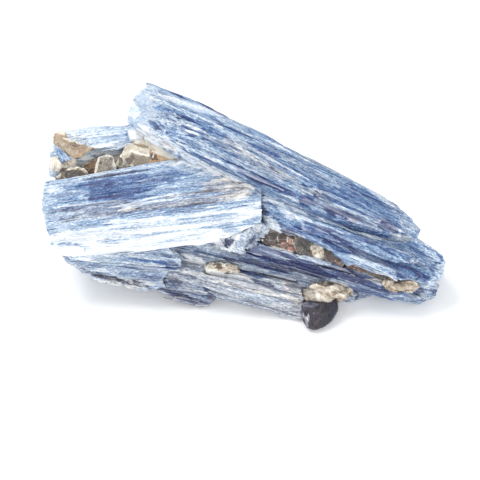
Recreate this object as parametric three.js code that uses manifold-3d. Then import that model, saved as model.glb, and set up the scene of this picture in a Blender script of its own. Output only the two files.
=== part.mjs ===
// A kyanite blade cluster: long blue blades grown across one another, with mica books and
// feldspar caught in the pockets between them, and one dark crystal sticking out below.
// Everything is in millimetres. The blades are laid out in the frame of the cluster's broad face:
// +X along the cluster, +Y up the face and +Z out of it. The face then leans back on the ground.
import * as THREE from "three";
import { ConvexGeometry } from "three/addons/geometries/ConvexGeometry.js";
import { mergeVertices } from "three/addons/utils/BufferGeometryUtils.js";
import Module from "manifold-3d";

const wasm = await Module();
wasm.setup();

// Driving dimensions.
const leanDegrees = 50; // turn of the broad face about X, from lying flat to where it rests
const toeY = -24.6; // lowest point of the broad face, in its own frame, where the front toe stands
const contactGap = 0.3; // clear space left between neighbouring crystals
const groundBlock = 200; // side of the block that cuts the feet flat
const plateSink = 0.2; // share by which a mica plate's back outline is smaller than its front
const endTaperShare = 0.3; // how much of a lath's taper its two ends take

const lean = THREE.MathUtils.degToRad(leanDegrees);

// The cluster's crystals and their finishes.
const finishes = {
  kyanite: { color: 0x5f86bd, roughness: 0.38 },
  paleKyanite: { color: 0xb4c8e2, roughness: 0.35 },
  greyKyanite: { color: 0x8e95ab, roughness: 0.45 },
  darkKyanite: { color: 0x33405f, roughness: 0.42 },
  brownMica: { color: 0x5c4632, roughness: 0.25 },
  redMica: { color: 0x6e4234, roughness: 0.28 },
  silverMica: { color: 0x9c917f, roughness: 0.22 },
  feldspar: { color: 0xcbb899, roughness: 0.7 },
  darkCrystal: { color: 0x2a2428, roughness: 0.3 },
};

// ---- Shapes -------------------------------------------------------------------------------

const point = ([x, y, z]) => new THREE.Vector3(x, y, z);

// A lath: the outline of its face, and the same outline set back by its depth, drawn in towards
// the middle by taper and moved by drift. Extra corners, such as a bevel's, join the hull.
function lath({ face, depth, taper = 0.8, drift = [0, 0], extra = [] }) {
  const front = face.map(point);
  const middle = front.reduce((sum, p) => sum.add(p), new THREE.Vector3()).divideScalar(front.length);
  const back = front.map(
    (p) =>
      new THREE.Vector3(
        middle.x + (p.x - middle.x) * (1 - (1 - taper) * endTaperShare) + drift[0],
        middle.y + (p.y - middle.y) * taper + drift[1],
        p.z - depth,
      ),
  );
  return [...front, ...back, ...extra.map(point)];
}

// A beam: cross-sections, each a list of [y, z] corners, at stated places along X.
function beam(sections) {
  return sections.flatMap(({ x, corners }) => corners.map(([y, z]) => new THREE.Vector3(x, y, z)));
}

// A rough grain: points spread evenly over an ellipsoid, each moved in or out a little by a sine.
function grain({ at, radii, rough = 0.12, count = 26, phase = 0 }) {
  const golden = Math.PI * (3 - Math.sqrt(5));
  return Array.from({ length: count }, (_, i) => {
    const up = 1 - (2 * (i + 0.5)) / count;
    const ring = Math.sqrt(1 - up * up);
    const swell = 1 + rough * Math.sin(i * 2.4 + phase) * Math.cos(i * 1.3 + 2 * phase);
    return new THREE.Vector3(
      at[0] + radii[0] * swell * ring * Math.cos(golden * i),
      at[1] + radii[1] * swell * ring * Math.sin(golden * i),
      at[2] + radii[2] * swell * up,
    );
  });
}

// A mica book: an uneven six-sided plate of the given width, height and thickness, turned in place.
function book({ at, size, turn = [0, 0, 0], phase = 0 }) {
  const [width, height, thickness] = size;
  const rotation = new THREE.Euler(...turn.map(THREE.MathUtils.degToRad));
  const corners = Array.from({ length: 6 }, (_, i) => {
    const angle = (Math.PI / 3) * i + 0.22 * Math.sin(2.1 * i + phase);
    const reach = 1 - 0.12 * Math.cos(1.7 * i + phase);
    return [(width / 2) * reach * Math.cos(angle), (height / 2) * reach * Math.sin(angle)];
  });
  return corners.flatMap(([x, y]) =>
    [0.5, -0.5].map((side) => {
      const share = side > 0 ? 1 : 1 - plateSink;
      return new THREE.Vector3(x * share, y * share, side * thickness)
        .applyEuler(rotation)
        .add(point(at));
    }),
  );
}

// ---- The crystals, nearest the front first ---------------------------------------------------

// The wide blade that runs from the upper left down to the right, over all the others.
const upperBlade = {
  name: "upper_blade",
  finish: "kyanite",
  hulls: [
    lath({
      face: [
        [-18.8, 24.4, -5.0],
        [-21.2, 22.4, -5.0],
        [-22.8, 19.0, -4.0],
        [-23.0, 16.6, -2.8],
        [-18.0, 14.4, 0.2],
        [-10.4, 11.0, 2.6],
        [-0.8, 7.0, 3.4],
        [9.2, 2.4, 3.0],
        [20.2, -2.4, 2.2],
        [31.0, -6.0, 0.6],
        [34.4, -6.2, -1.0],
        [34.9, -4.4, -2.0],
        [33.6, -2.5, -2.5],
        [25.2, 3.3, -3.5],
        [11.2, 10.1, -4.0],
        [3.4, 14.5, -4.2],
        [-3.2, 17.2, -4.5],
      ],
      depth: 7,
      taper: 0.72,
      extra: [
        [-21.6, 15.2, -4.0],
        [-12.2, 9.6, -1.6],
        [-0.8, 4.7, -0.8],
        [5.4, 1.4, -0.8],
        [20.0, -4.2, -1.2],
        [30.4, -7.2, -2.4],
      ],
    }),
    // the narrow lath along its top edge, which stops short and leaves a step
    lath({
      face: [
        [-19.2, 24.8, -6.2],
        [-11.0, 21.6, -5.4],
        [-3.3, 17.8, -5.2],
        [-4.4, 16.8, -3.8],
        [-18.6, 23.4, -4.2],
      ],
      depth: 4,
      taper: 0.9,
      drift: [0.5, -1.2],
    }),
    // a lath lying on its right half, beyond the break
    lath({
      face: [
        [12.0, 5.2, -0.6],
        [15.6, 1.6, 2.6],
        [24.0, -2.4, 2.8],
        [32.2, -5.4, 1.0],
        [31.0, -2.0, -1.0],
        [20.0, 4.2, -2.0],
      ],
      depth: 5,
    }),
  ],
};

// The blade in front on the left, with a raised ridge and a bright lower face.
const frontBlade = {
  name: "front_blade",
  finish: "paleKyanite",
  hulls: [
    lath({
      face: [
        [-40.2, 5.0, -4.0],
        [-28.0, 7.2, -4.0],
        [-15.0, 9.3, -3.8],
        [-6.5, 8.6, -3.4],
        [0.5, 4.8, 0.0],
        [3.6, 2.0, 2.6],
        [3.6, 0.8, 4.4],
        [-20.0, -2.2, 5.2],
        [-39.5, -4.6, 3.8],
        [-40.6, 0.8, 0.0],
      ],
      depth: 6,
      taper: 0.85,
      extra: [
        [-38.2, -8.6, 1.2],
        [-34.0, -10.1, 0.8],
        [-22.8, -8.9, 1.6],
        [-11.8, -7.5, 2.2],
        [-4.0, -6.6, 2.4],
        [3.4, -3.2, 3.2],
        [-36.0, -7.0, -6.0],
        [-12.0, -6.0, -7.0],
        [2.0, -2.0, -5.0],
      ],
    }),
  ],
};

// The splintered lump where the front blade has broken off.
const brokenEnd = {
  name: "broken_end",
  finish: "paleKyanite",
  hulls: [
    lath({
      face: [
        [-5.4, -5.0, 2.0],
        [-4.4, -8.3, 1.0],
        [-0.6, -9.3, 0.4],
        [1.6, -7.8, 0.9],
        [3.9, -5.4, 1.2],
        [4.6, -4.0, 1.6],
        [1.0, -3.2, 2.6],
      ],
      depth: 5,
    }),
    lath({
      face: [
        [-1.6, -3.8, 2.6],
        [-2.6, -6.0, 2.4],
        [0.4, -6.6, 2.2],
        [1.2, -4.6, 2.6],
      ],
      depth: 3,
    }),
  ],
};

// The blade that comes out from under the upper one and runs to the right-hand tip.
const rightBlade = {
  name: "right_blade",
  finish: "kyanite",
  hulls: [
    lath({
      face: [
        [3.9, 1.6, -0.6],
        [4.3, -3.6, 0.6],
        [8.4, -4.8, 1.6],
        [16.2, -8.4, 1.8],
        [20.2, -10.6, 1.8],
        [30.4, -14.7, 1.2],
        [37.6, -15.6, -0.8],
        [39.9, -14.2, -2.0],
        [40.3, -11.2, -2.5],
        [39.9, -10.0, -2.8],
        [37.6, -8.4, -2.5],
        [35.0, -6.8, -2.2],
        [23.2, -1.5, -1.5],
        [11.2, 3.6, -1.5],
      ],
      depth: 7,
      taper: 0.75,
      drift: [-0.6, 0.6],
    }),
    // the pale wedge on its lower edge
    lath({
      face: [
        [19.4, -9.4, 2.6],
        [30.0, -13.0, 2.3],
        [30.4, -14.9, 1.8],
        [25.6, -13.7, 2.2],
        [20.0, -11.0, 2.4],
      ],
      depth: 3,
    }),
    // the raised rib along its middle
    lath({
      face: [
        [9.6, -1.4, 1.4],
        [21.0, -5.4, 2.4],
        [33.0, -9.6, 1.2],
        [36.6, -11.8, -0.2],
        [30.0, -11.2, 1.6],
        [12.0, -4.6, 2.0],
      ],
      depth: 4,
    }),
  ],
};

// The long blade below the right-hand mica pocket.
const lowerRightBlade = {
  name: "lower_right_blade",
  finish: "darkKyanite",
  hulls: [
    lath({
      face: [
        [-1.0, -9.2, -1.2],
        [3.6, -7.6, -0.6],
        [11.2, -10.2, 0.2],
        [20.2, -12.7, 0.2],
        [27.2, -15.2, 0.0],
        [33.0, -16.2, -0.6],
        [38.9, -15.8, -2.2],
        [38.5, -17.8, -3.4],
        [37.2, -19.0, -4.2],
        [35.2, -19.7, -4.6],
        [32.0, -19.2, -4.0],
        [26.8, -18.0, -2.6],
        [21.2, -15.7, -1.6],
        [11.2, -12.7, -1.2],
        [1.2, -10.2, -1.6],
      ],
      depth: 6,
      taper: 0.8,
      drift: [-0.5, 2.2],
    }),
    lath({
      face: [
        [12.6, -11.6, 0.8],
        [22.0, -13.8, 0.9],
        [31.0, -16.9, 0.2],
        [36.0, -18.6, -2.2],
        [30.0, -18.0, -1.6],
        [20.0, -14.8, -0.2],
      ],
      depth: 3,
    }),
  ],
};

// Three laths side by side at the lower left, each broken off at its own length.
const lowerLeftBlade = {
  name: "lower_left_blade",
  finish: "kyanite",
  hulls: [
    lath({
      face: [
        [-37.4, -9.0, -1.6],
        [-34.0, -9.2, 0.0],
        [-15.8, -7.6, 0.8],
        [-12.6, -11.0, 0.6],
        [-12.8, -12.9, 0.0],
        [-20.0, -12.4, 0.2],
        [-34.8, -11.2, -1.2],
      ],
      depth: 8,
      drift: [0, 2],
    }),
    lath({
      face: [
        [-35.4, -10.8, -1.6],
        [-24.0, -11.8, 0.0],
        [-14.6, -12.2, 0.0],
        [-16.4, -14.7, -0.8],
        [-26.0, -14.2, -0.8],
        [-32.2, -13.1, -2.0],
      ],
      depth: 8,
      drift: [0, 3],
    }),
    lath({
      face: [
        [-32.8, -12.4, -2.4],
        [-24.0, -13.4, -1.0],
        [-16.6, -14.0, -1.2],
        [-15.6, -16.2, -2.0],
        [-18.8, -17.0, -2.6],
        [-22.8, -16.2, -3.0],
        [-28.8, -15.0, -3.6],
        [-31.8, -13.4, -3.2],
      ],
      depth: 7,
      drift: [0, 4],
    }),
  ],
};

// The grey blade along the bottom, which ends at the dark crystal.
const greyBlade = {
  name: "grey_blade",
  finish: "greyKyanite",
  hulls: [
    lath({
      face: [
        [-16.0, -11.2, -1.2],
        [-8.8, -12.4, -0.4],
        [-0.8, -14.2, -0.2],
        [11.2, -17.0, -0.2],
        [11.9, -19.2, -0.6],
        [11.3, -22.7, -1.6],
        [8.2, -21.6, -1.8],
        [3.6, -20.8, -2.2],
        [-0.8, -19.6, -2.4],
        [-5.6, -18.6, -2.8],
        [-15.0, -14.8, -2.0],
      ],
      depth: 6,
      taper: 0.7,
      drift: [0, 3.2],
    }),
    lath({
      face: [
        [-9.0, -13.6, 0.2],
        [2.0, -16.0, 0.5],
        [11.0, -18.6, 0.2],
        [10.8, -20.4, -0.4],
        [-0.5, -17.8, 0.0],
        [-10.0, -15.0, -0.4],
      ],
      depth: 3,
    }),
  ],
};

// A short dark blade under the grey one.
const keelBlade = {
  name: "keel_blade",
  finish: "darkKyanite",
  hulls: [
    lath({
      face: [
        [-17.2, -14.4, -2.6],
        [-8.0, -16.2, -2.8],
        [-6.0, -18.0, -3.4],
        [-7.2, -19.9, -4.4],
        [-9.8, -19.5, -4.4],
        [-12.8, -18.7, -4.2],
        [-16.2, -17.2, -3.9],
      ],
      depth: 7,
      taper: 0.85,
      drift: [0, 4.5],
    }),
  ],
};

// The dark blade seen in the shade above the grey one, and the cluster's widest inside crystal.
const shadedBlade = {
  name: "shaded_blade",
  finish: "darkKyanite",
  hulls: [
    lath({
      face: [
        [-20.0, -7.0, -2.8],
        [-6.0, -6.4, -2.6],
        [2.0, -8.0, -2.8],
        [12.0, -11.6, -3.0],
        [21.0, -15.2, -3.6],
        [26.6, -17.8, -5.4],
        [20.4, -19.3, -6.0],
        [12.0, -18.0, -3.8],
        [0.0, -14.8, -3.2],
        [-14.0, -12.4, -3.4],
      ],
      depth: 9,
      taper: 0.8,
      drift: [0, 5],
      extra: [
        [-34.0, 1.0, -8.6],
        [-32.0, -6.0, -8.0],
        [-33.0, -4.0, -15.0],
        [-10.0, 6.0, -9.0],
        [18.0, -2.0, -8.4],
        [14.0, -1.0, -15.0],
        [-8.0, 5.0, -15.0],
      ],
    }),
  ],
};

// The pale blade at the back left, whose upper face looks out over the mica pocket.
const rearLeftBlade = {
  name: "rear_left_blade",
  finish: "paleKyanite",
  hulls: [
    lath({
      face: [
        [-38.0, 14.2, -8.6],
        [-36.6, 15.3, -9.2],
        [-28.8, 16.4, -9.6],
        [-24.4, 15.7, -9.4],
        [-19.0, 16.8, -9.0],
        [-16.0, 13.0, -6.2],
        [-22.8, 12.0, -5.6],
        [-27.0, 11.4, -6.0],
        [-32.0, 12.2, -6.6],
      ],
      depth: 6,
      taper: 0.9,
    }),
    lath({
      face: [
        [-39.0, 6.4, -9.0],
        [-39.0, 11.0, -8.6],
        [-38.2, 14.0, -9.0],
        [-30.0, 14.0, -9.0],
        [-14.0, 13.0, -9.0],
        [-8.0, 9.0, -9.0],
        [-14.0, 4.0, -9.4],
        [-30.0, 2.0, -9.4],
      ],
      depth: 6.5,
      taper: 0.85,
    }),
  ],
};

// Two blades at the back carry the cluster: their lower edges are its rear feet.
const rearFootBlade = {
  name: "rear_foot_blade",
  finish: "greyKyanite",
  hulls: [
    beam([
      { x: -34, corners: [[-6.5, -15], [5, -14], [6, -18], [2, -24.5], [-5.4, -23.8]] },
      { x: -30, corners: [[-8, -15], [6.5, -14], [8, -19], [3, -26], [-5.4, -23.9]] },
      { x: 0, corners: [[-10, -14], [8, -14], [9, -20], [4, -27.5], [-4, -26]] },
      { x: 24, corners: [[-13, -11], [0, -11], [2, -17], [-3, -23.5], [-9.4, -19.6]] },
      { x: 28, corners: [[-12, -11], [-3, -11], [-1, -16], [-4, -20], [-9.6, -18]] },
    ]),
    beam([
      { x: -30, corners: [[2, -22], [7, -19], [5, -26], [0, -26.4]] },
      { x: 12, corners: [[1, -22], [8, -18], [6, -26.6], [0, -27]] },
      { x: 17, corners: [[0, -21], [5, -18], [3, -24], [-1, -25]] },
    ]),
  ],
};

const rearTopBlade = {
  name: "rear_top_blade",
  finish: "kyanite",
  hulls: [
    beam([
      { x: -27, corners: [[9, -15], [14, -14.6], [14.4, -17], [10, -21], [8, -20]] },
      { x: -24, corners: [[8, -13], [17, -10], [17, -14], [11, -22], [7, -21]] },
      { x: -3, corners: [[5, -11], [15, -9], [16, -13], [12, -20.6], [5, -21.4]] },
      { x: 22, corners: [[-6, -9], [2.6, -8.6], [4, -12], [1, -18], [-6, -17]] },
      { x: 29, corners: [[-8, -9], [-1, -9], [-1, -11], [-3, -14], [-8, -13]] },
    ]),
    beam([
      { x: -18, corners: [[10, -18], [16, -13], [17, -16], [12, -22]] },
      { x: 8, corners: [[4, -17], [11, -12], [12, -15.4], [6, -20.6]] },
      { x: 12, corners: [[3, -15], [8, -12], [9, -14], [5, -18]] },
    ]),
  ],
};

// A narrow blade that comes down over the one behind it and goes in under the rear foot's edge.
const rearCrossBlade = {
  name: "rear_cross_blade",
  finish: "paleKyanite",
  hulls: [
    beam([
      { x: -20, corners: [[12, -17], [15, -15], [16, -18], [14, -21], [12, -20.6]] },
      { x: -16, corners: [[10, -18], [14.6, -14], [16.6, -18], [14, -23], [10, -23]] },
      { x: 8, corners: [[1, -19], [7, -15], [9, -19], [6.6, -23.6], [1, -23.4]] },
      { x: 15, corners: [[-1, -18], [4, -15], [6, -18.4], [4.4, -22], [-1, -21.6]] },
    ]),
  ],
};

// The dark crystal that sticks out at the end of the grey blade and is the cluster's front foot.
const darkCrystal = {
  name: "dark_crystal",
  finish: "darkCrystal",
  hulls: [
    lath({
      face: [
        [11.8, -19.6, 0.2],
        [15.2, -18.8, 0.4],
        [18.6, -19.2, -0.6],
        [18.8, -21.0, -0.6],
        [17.6, -22.9, 0.2],
        [16.0, -24.2, 0.9],
        [14.2, -24.8, 1.2],
        [12.6, -24.4, 1.2],
        [11.6, -23.0, 0.8],
      ],
      depth: 5.5,
      taper: 0.7,
      drift: [0.4, 3.0],
      extra: [
        [13.2, -20.4, 1.6],
        [16.4, -20.8, 1.5],
        [14.2, -23.4, 2.0],
        [13.4, -23.6, -1.4],
        [16.6, -23.0, -1.8],
        [15.0, -22.2, -3.0],
      ],
    }),
  ],
};

// Mica and feldspar caught between the blades.
const micaOf = (name, finish, at, size, turn, phase) => ({
  name,
  finish,
  hulls: [book({ at, size, turn, phase })],
});

const feldsparOf = (name, shape) => ({ name, finish: "feldspar", hulls: [grain(shape)] });

const leftPocket = [
  micaOf("golden_mica", "brownMica", [-34.4, 12.4, -6.4], [8.8, 5.0, 2.0], [-14, 8, -24], 0.4),
  micaOf("dark_mica", "brownMica", [-34.6, 7.7, -6.2], [7.2, 4.2, 2.4], [16, -6, 8], 1.2),
  micaOf("mica_plate_1", "brownMica", [-30.4, 8.8, -7.2], [5.6, 6.0, 2.0], [4, 30, 12], 2.0),
  micaOf("mica_plate_2", "silverMica", [-27.4, 9.4, -6.6], [5.0, 6.2, 1.4], [-6, -26, -14], 2.9),
  micaOf("mica_plate_3", "silverMica", [-23.8, 9.8, -6.8], [5.6, 6.4, 2.0], [6, 22, 10], 3.7),
  micaOf("grey_mica", "silverMica", [-20.0, 10.8, -5.8], [6.6, 5.6, 2.4], [-8, -12, -30], 4.4),
  micaOf("amber_mica", "brownMica", [-15.8, 10.6, -5.6], [7.2, 4.0, 2.2], [10, 4, -22], 5.3),
  micaOf("blue_chip", "kyanite", [-36.4, 10.0, -6.0], [5.6, 2.2, 1.8], [0, 8, -48], 0.9),
  feldsparOf("left_feldspar", { at: [-37.0, 8.6, -7.2], radii: [1.9, 2.0, 2.0], phase: 1.4 }),
];

const rightPocket = [
  micaOf("red_mica_1", "redMica", [6.6, -7.0, -1.3], [6.2, 3.0, 1.4], [8, -10, -18], 1.1),
  micaOf("red_mica_2", "redMica", [10.2, -8.2, -1.0], [4.4, 3.4, 1.3], [-10, 24, -34], 2.3),
  feldsparOf("pocket_feldspar", { at: [14.8, -9.4, -1.3], radii: [2.3, 1.5, 1.6], phase: 2.6 }),
  micaOf("red_mica_3", "redMica", [18.8, -10.9, -1.0], [5.4, 2.4, 1.4], [6, -14, -26], 3.4),
  micaOf("red_mica_4", "redMica", [24.0, -13.2, -1.2], [7.4, 1.8, 1.3], [0, 4, -22], 4.2),
  feldsparOf("feldspar_seam", { at: [31.2, -15.9, -0.4], radii: [4.0, 1.1, 1.5], rough: 0.06, phase: 0.8 }),
];

const crusts = [
  feldsparOf("left_crust", { at: [-4.6, -12.8, -1.9], radii: [3.9, 1.7, 1.7], count: 34, phase: 3.3 }),
  feldsparOf("right_crust", { at: [17.0, -17.4, -2.6], radii: [4.6, 2.2, 2.6], count: 34, phase: 2.2 }),
];

const rearPocket = [
  micaOf("rear_mica", "silverMica", [-22.5, 6.2, -22.6], [9.0, 6.0, 3.0], [18, 10, -12], 1.9),
  feldsparOf("rear_crust", { at: [-6.0, 7.2, -22.2], radii: [6.0, 2.6, 3.0], count: 40, phase: 0.5 }),
];

// A crystal keeps its own shape where it meets one that comes after it in this list.
const crystals = [
  upperBlade,
  frontBlade,
  ...rightPocket,
  rightBlade,
  brokenEnd,
  lowerLeftBlade,
  lowerRightBlade,
  darkCrystal,
  ...crusts,
  greyBlade,
  keelBlade,
  ...leftPocket,
  rearLeftBlade,
  shadedBlade,
  ...rearPocket,
  rearFootBlade,
  rearCrossBlade,
  rearTopBlade,
];

// ---- Solids ---------------------------------------------------------------------------------

function solidOf(geometry) {
  geometry.deleteAttribute("normal");
  geometry.deleteAttribute("uv");
  const merged = mergeVertices(geometry, 1e-4);
  return new wasm.Manifold(
    new wasm.Mesh({
      numProp: 3,
      vertProperties: merged.getAttribute("position").array,
      triVerts: new Uint32Array(merged.index.array),
    }),
  );
}

const hullSolid = (points) => solidOf(new ConvexGeometry(points));

// The same hull, larger by the contact gap in every direction.
function grownSolid(points) {
  const sides = [-contactGap, contactGap];
  const offsets = sides.flatMap((x) => sides.flatMap((y) => sides.map((z) => new THREE.Vector3(x, y, z))));
  return hullSolid(points.flatMap((p) => offsets.map((o) => p.clone().add(o))));
}

const joined = (solids) => solids.reduce((whole, solid) => whole.add(solid));

const largest = (solid) =>
  solid.decompose().reduce((best, body) => (body.volume() > best.volume() ? body : best));

function geometryOf(solid) {
  const { numProp, vertProperties, triVerts, numVert } = solid.getMesh();
  const positions = new Float32Array(numVert * 3);
  for (let i = 0; i < numVert; i += 1) {
    positions.set(vertProperties.subarray(i * numProp, i * numProp + 3), i * 3);
  }
  const indexed = new THREE.BufferGeometry();
  indexed.setAttribute("position", new THREE.BufferAttribute(positions, 3));
  indexed.setIndex(new THREE.BufferAttribute(triVerts, 1));
  const flat = indexed.toNonIndexed();
  flat.computeVertexNormals();
  return flat;
}

// The ground under the cluster, as a block in the broad face's frame.
function groundSolid() {
  const block = new THREE.BoxGeometry(groundBlock, groundBlock, groundBlock);
  block.translate(0, 0, -groundBlock / 2);
  block.rotateX(-lean);
  block.translate(0, toeY, 0);
  return solidOf(block);
}

// ---- Assembly -------------------------------------------------------------------------------

const ground = groundSolid();
const broadFace = new THREE.Group();
broadFace.rotation.x = lean;
let taken = ground;
for (const { name, finish, hulls } of crystals) {
  const whole = joined(hulls.map(hullSolid));
  const { color, roughness } = finishes[finish];
  const material = new THREE.MeshStandardMaterial({ color, roughness, metalness: 0 });
  const mesh = new THREE.Mesh(geometryOf(largest(whole.subtract(taken))), material);
  mesh.name = name;
  broadFace.add(mesh);
  taken = taken.add(joined(hulls.map(grownSolid)));
}

// The origin is on the ground, under the middle of the cluster's box.
const cluster = new THREE.Group();
cluster.name = "kyanite_cluster";
cluster.add(broadFace);
cluster.updateMatrixWorld(true);
const box = new THREE.Box3().setFromObject(broadFace, true);
broadFace.position.set(-(box.min.x + box.max.x) / 2, -(box.min.y + box.max.y) / 2, -box.min.z);

export default cluster;
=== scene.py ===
import math

import bmesh
import bpy
import numpy as np
from mathutils import Matrix, Vector


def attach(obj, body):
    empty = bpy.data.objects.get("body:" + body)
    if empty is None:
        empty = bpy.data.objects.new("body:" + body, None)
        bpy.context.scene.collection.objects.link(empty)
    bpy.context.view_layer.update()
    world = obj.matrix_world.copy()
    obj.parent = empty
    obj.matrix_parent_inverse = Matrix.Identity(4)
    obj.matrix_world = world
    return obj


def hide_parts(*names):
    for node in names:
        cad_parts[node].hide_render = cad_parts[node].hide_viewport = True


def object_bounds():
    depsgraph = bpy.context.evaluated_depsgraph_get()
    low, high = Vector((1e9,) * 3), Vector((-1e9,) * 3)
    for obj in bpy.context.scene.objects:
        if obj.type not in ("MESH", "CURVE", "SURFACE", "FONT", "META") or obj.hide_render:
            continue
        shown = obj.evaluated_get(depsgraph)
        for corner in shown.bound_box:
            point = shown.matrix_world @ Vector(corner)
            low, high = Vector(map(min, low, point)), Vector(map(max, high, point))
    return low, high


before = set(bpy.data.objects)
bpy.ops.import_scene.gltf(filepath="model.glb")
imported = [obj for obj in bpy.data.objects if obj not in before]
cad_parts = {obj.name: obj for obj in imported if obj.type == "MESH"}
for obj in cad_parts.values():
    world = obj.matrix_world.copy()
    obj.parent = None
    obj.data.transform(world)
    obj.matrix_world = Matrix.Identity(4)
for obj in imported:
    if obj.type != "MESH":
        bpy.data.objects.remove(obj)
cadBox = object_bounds()
boxLow, boxHigh = cadBox
boxSize = boxHigh - boxLow
boxMiddle = (boxLow + boxHigh) / 2
mm = 0.001
print("stage: frame loaded,", len(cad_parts), "nodes")

# The broad face of the cluster leans back on its feet. Every blade is described as seen on that face:
# right along the cluster, up the face, and out of it.
leanBack = math.radians(50)
faceRight = Vector((1, 0, 0))
faceUp = Vector((0, math.cos(leanBack), math.sin(leanBack)))
faceOut = Vector((0, -math.sin(leanBack), math.cos(leanBack)))


def grainAxes(degrees):
    # along the grain, across it on the broad face, and out of the face
    turn = math.radians(degrees)
    along = faceRight * math.cos(turn) + faceUp * math.sin(turn)
    across = faceUp * math.cos(turn) - faceRight * math.sin(turn)
    return Matrix((along, across, faceOut))


# Patterns, worked out on arrays of points in millimetres.


def scramble(seed, *parts):
    # a repeatable number from 0 to 1 for each set of whole numbers
    mixed = np.full(parts[0].shape, (seed * 2654435761 + 97) % 2**32, np.uint32)
    for part in parts:
        mixed = (mixed ^ part.astype(np.int64).astype(np.uint32)) * np.uint32(0x85EBCA6B)
        mixed = (mixed ^ (mixed >> np.uint32(13))) * np.uint32(0xC2B2AE35)
        mixed ^= mixed >> np.uint32(16)
    return mixed / 2**32


def softNoise(points, size, seed):
    # smooth noise from -1 to 1, with bumps of the given size along each axis
    spots = points / np.array(size)
    cell = np.floor(spots)
    ease = spots - cell
    ease = ease * ease * (3 - 2 * ease)
    total = np.zeros(len(points))
    for corner in np.ndindex(2, 2, 2):
        weight = np.prod(np.where(corner, ease, 1 - ease), axis=1)
        total += weight * scramble(seed, *(cell + corner).T)
    return total * 2 - 1


def wave(points, kind, seed):
    # smooth noise with a strength, a size in mm on each axis and a place in the piece's row of seeds
    strength, size, turn = kind
    return strength * softNoise(points, size, seed + turn)


def freshNumber(number, times):
    # another number from 0 to 1, made from one that is as good as random
    return np.modf(number * times)[0]


def smoothStep(values, low, high):
    share = np.clip((values - low) / (high - low), 0, 1)
    return share * share * (3 - 2 * share)


def lathPattern(points, size, seed):
    # splits space into long laths: a random number for each lath, and how far its nearest side is
    length, width, depth = size
    spots = points[:, 1:] / (width, depth)
    base = np.floor(spots)
    nearest = np.full(len(points), 9.0)
    second = nearest.copy()
    lath = np.zeros_like(spots)
    for step in np.ndindex(3, 3):
        cell = base + step - 1
        shift = np.stack([scramble(seed, *cell.T), scramble(seed + 1, *cell.T)], axis=1)
        away = np.hypot(*(spots - cell - 0.1 - 0.8 * shift).T)
        closer = away < nearest
        second = np.where(closer, nearest, np.minimum(second, away))
        nearest = np.minimum(nearest, away)
        lath[closer] = cell[closer]
    reach = length * (0.6 + 0.8 * scramble(seed + 2, *lath.T))
    slant = points[:, 0] + 0.35 * points[:, 1]
    part = np.floor(slant / reach + scramble(seed + 3, *lath.T))
    return scramble(seed + 4, *lath.T, part), second - nearest


def stroke(start, end, wide, tone=0, warm=0, frost=0, rise=0, chips=0, calm=0, edge=0.6, cut=False):
    # a streak on a piece, from start to end in shares of the piece's length and width along its grain.
    # Tone darkens it, warm turns it from blue to grey or brown, and frost whitens it: the whitening is
    # partly real whitish frost and partly painted glare, and in some strokes painted light laid over shade.
    # Wide and rise are in mm. Chips is how many times more loose chips lie on it, calm is how much relief
    # is smoothed away, edge is how ragged its rim is, and a cut streak begins straight across the grain,
    # not thinning out
    return {
        "line": (start, end),
        "wide": wide,
        "edge": edge,
        "cut": cut,
        "tone": tone,
        "warm": warm,
        "frost": frost,
        "rise": rise,
        "chips": chips,
        "calm": calm,
    }


def strokeWeight(mark, spots, size, feather):
    # how strongly a stroke covers each spot, from 0 to 1
    start, end = np.array(mark["line"]) * size
    run = end - start
    share = (spots - start) @ run / (run @ run)
    held = np.clip(share, 0, 1)
    away = np.linalg.norm(spots - start - held[:, None] * run, axis=1)
    toTip = 1 - held if mark["cut"] else np.minimum(held, 1 - held)
    thin = 0.35 + 0.65 * smoothStep(toTip, 0, 0.3)
    weight = smoothStep(1 - away / (mark["wide"] * thin) + mark["edge"] * feather, 0, 0.5)
    if mark["cut"]:
        weight *= smoothStep(share * np.linalg.norm(run), 0, 0.2)
    return weight


# Meshes.


def showObject(name, mesh):
    made = bpy.data.objects.new(name, mesh)
    bpy.context.scene.collection.objects.link(made)
    return made


def meshPoints(mesh):
    points = np.zeros(len(mesh.vertices) * 3, np.float32)
    mesh.vertices.foreach_get("co", points)
    return points.reshape(-1, 3).astype(float)


def setPoints(mesh, points):
    mesh.vertices.foreach_set("co", points.astype(np.float32).ravel())
    mesh.update()


def meshNormals(mesh):
    normals = np.zeros(len(mesh.vertices) * 3, np.float32)
    mesh.vertex_normals.foreach_get("vector", normals)
    return normals.reshape(-1, 3).astype(float)


def writeValue(mesh, name, values):
    layer = mesh.attributes.new(name, "FLOAT", "POINT")
    layer.data.foreach_set("value", values.astype(np.float32))


def bakedMesh(made, name):
    # the object's mesh with its modifiers applied; the object itself goes
    bpy.context.view_layer.update()
    mesh = bpy.data.meshes.new_from_object(made.evaluated_get(bpy.context.evaluated_depsgraph_get()))
    mesh.name = name
    bpy.data.objects.remove(made)
    return mesh


def nodeMesh(node, axes):
    # a copy of the node in the frame of the axes, in mm, with its corners merged
    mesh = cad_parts[node].data.copy()
    mesh.transform(axes.to_4x4() @ Matrix.Scale(1 / mm, 4))
    work = bmesh.new()
    work.from_mesh(mesh)
    bmesh.ops.remove_doubles(work, verts=work.verts, dist=0.001)
    work.to_mesh(mesh)
    work.free()
    return mesh


def fineShell(name, mesh, cell, stretch):
    # the mesh again in fine cells, each longer than the cell size by the stretch on each axis
    mesh.transform(Matrix.Diagonal((*[1 / side for side in stretch], 1)))
    made = showObject("shell_" + name, mesh)
    fine = made.modifiers.new("fine", "REMESH")
    fine.mode = "VOXEL"
    fine.voxel_size = cell
    fine.adaptivity = 0
    shell = bakedMesh(made, name)
    points = meshPoints(shell) * stretch
    setPoints(shell, points)
    return shell, points


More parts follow.
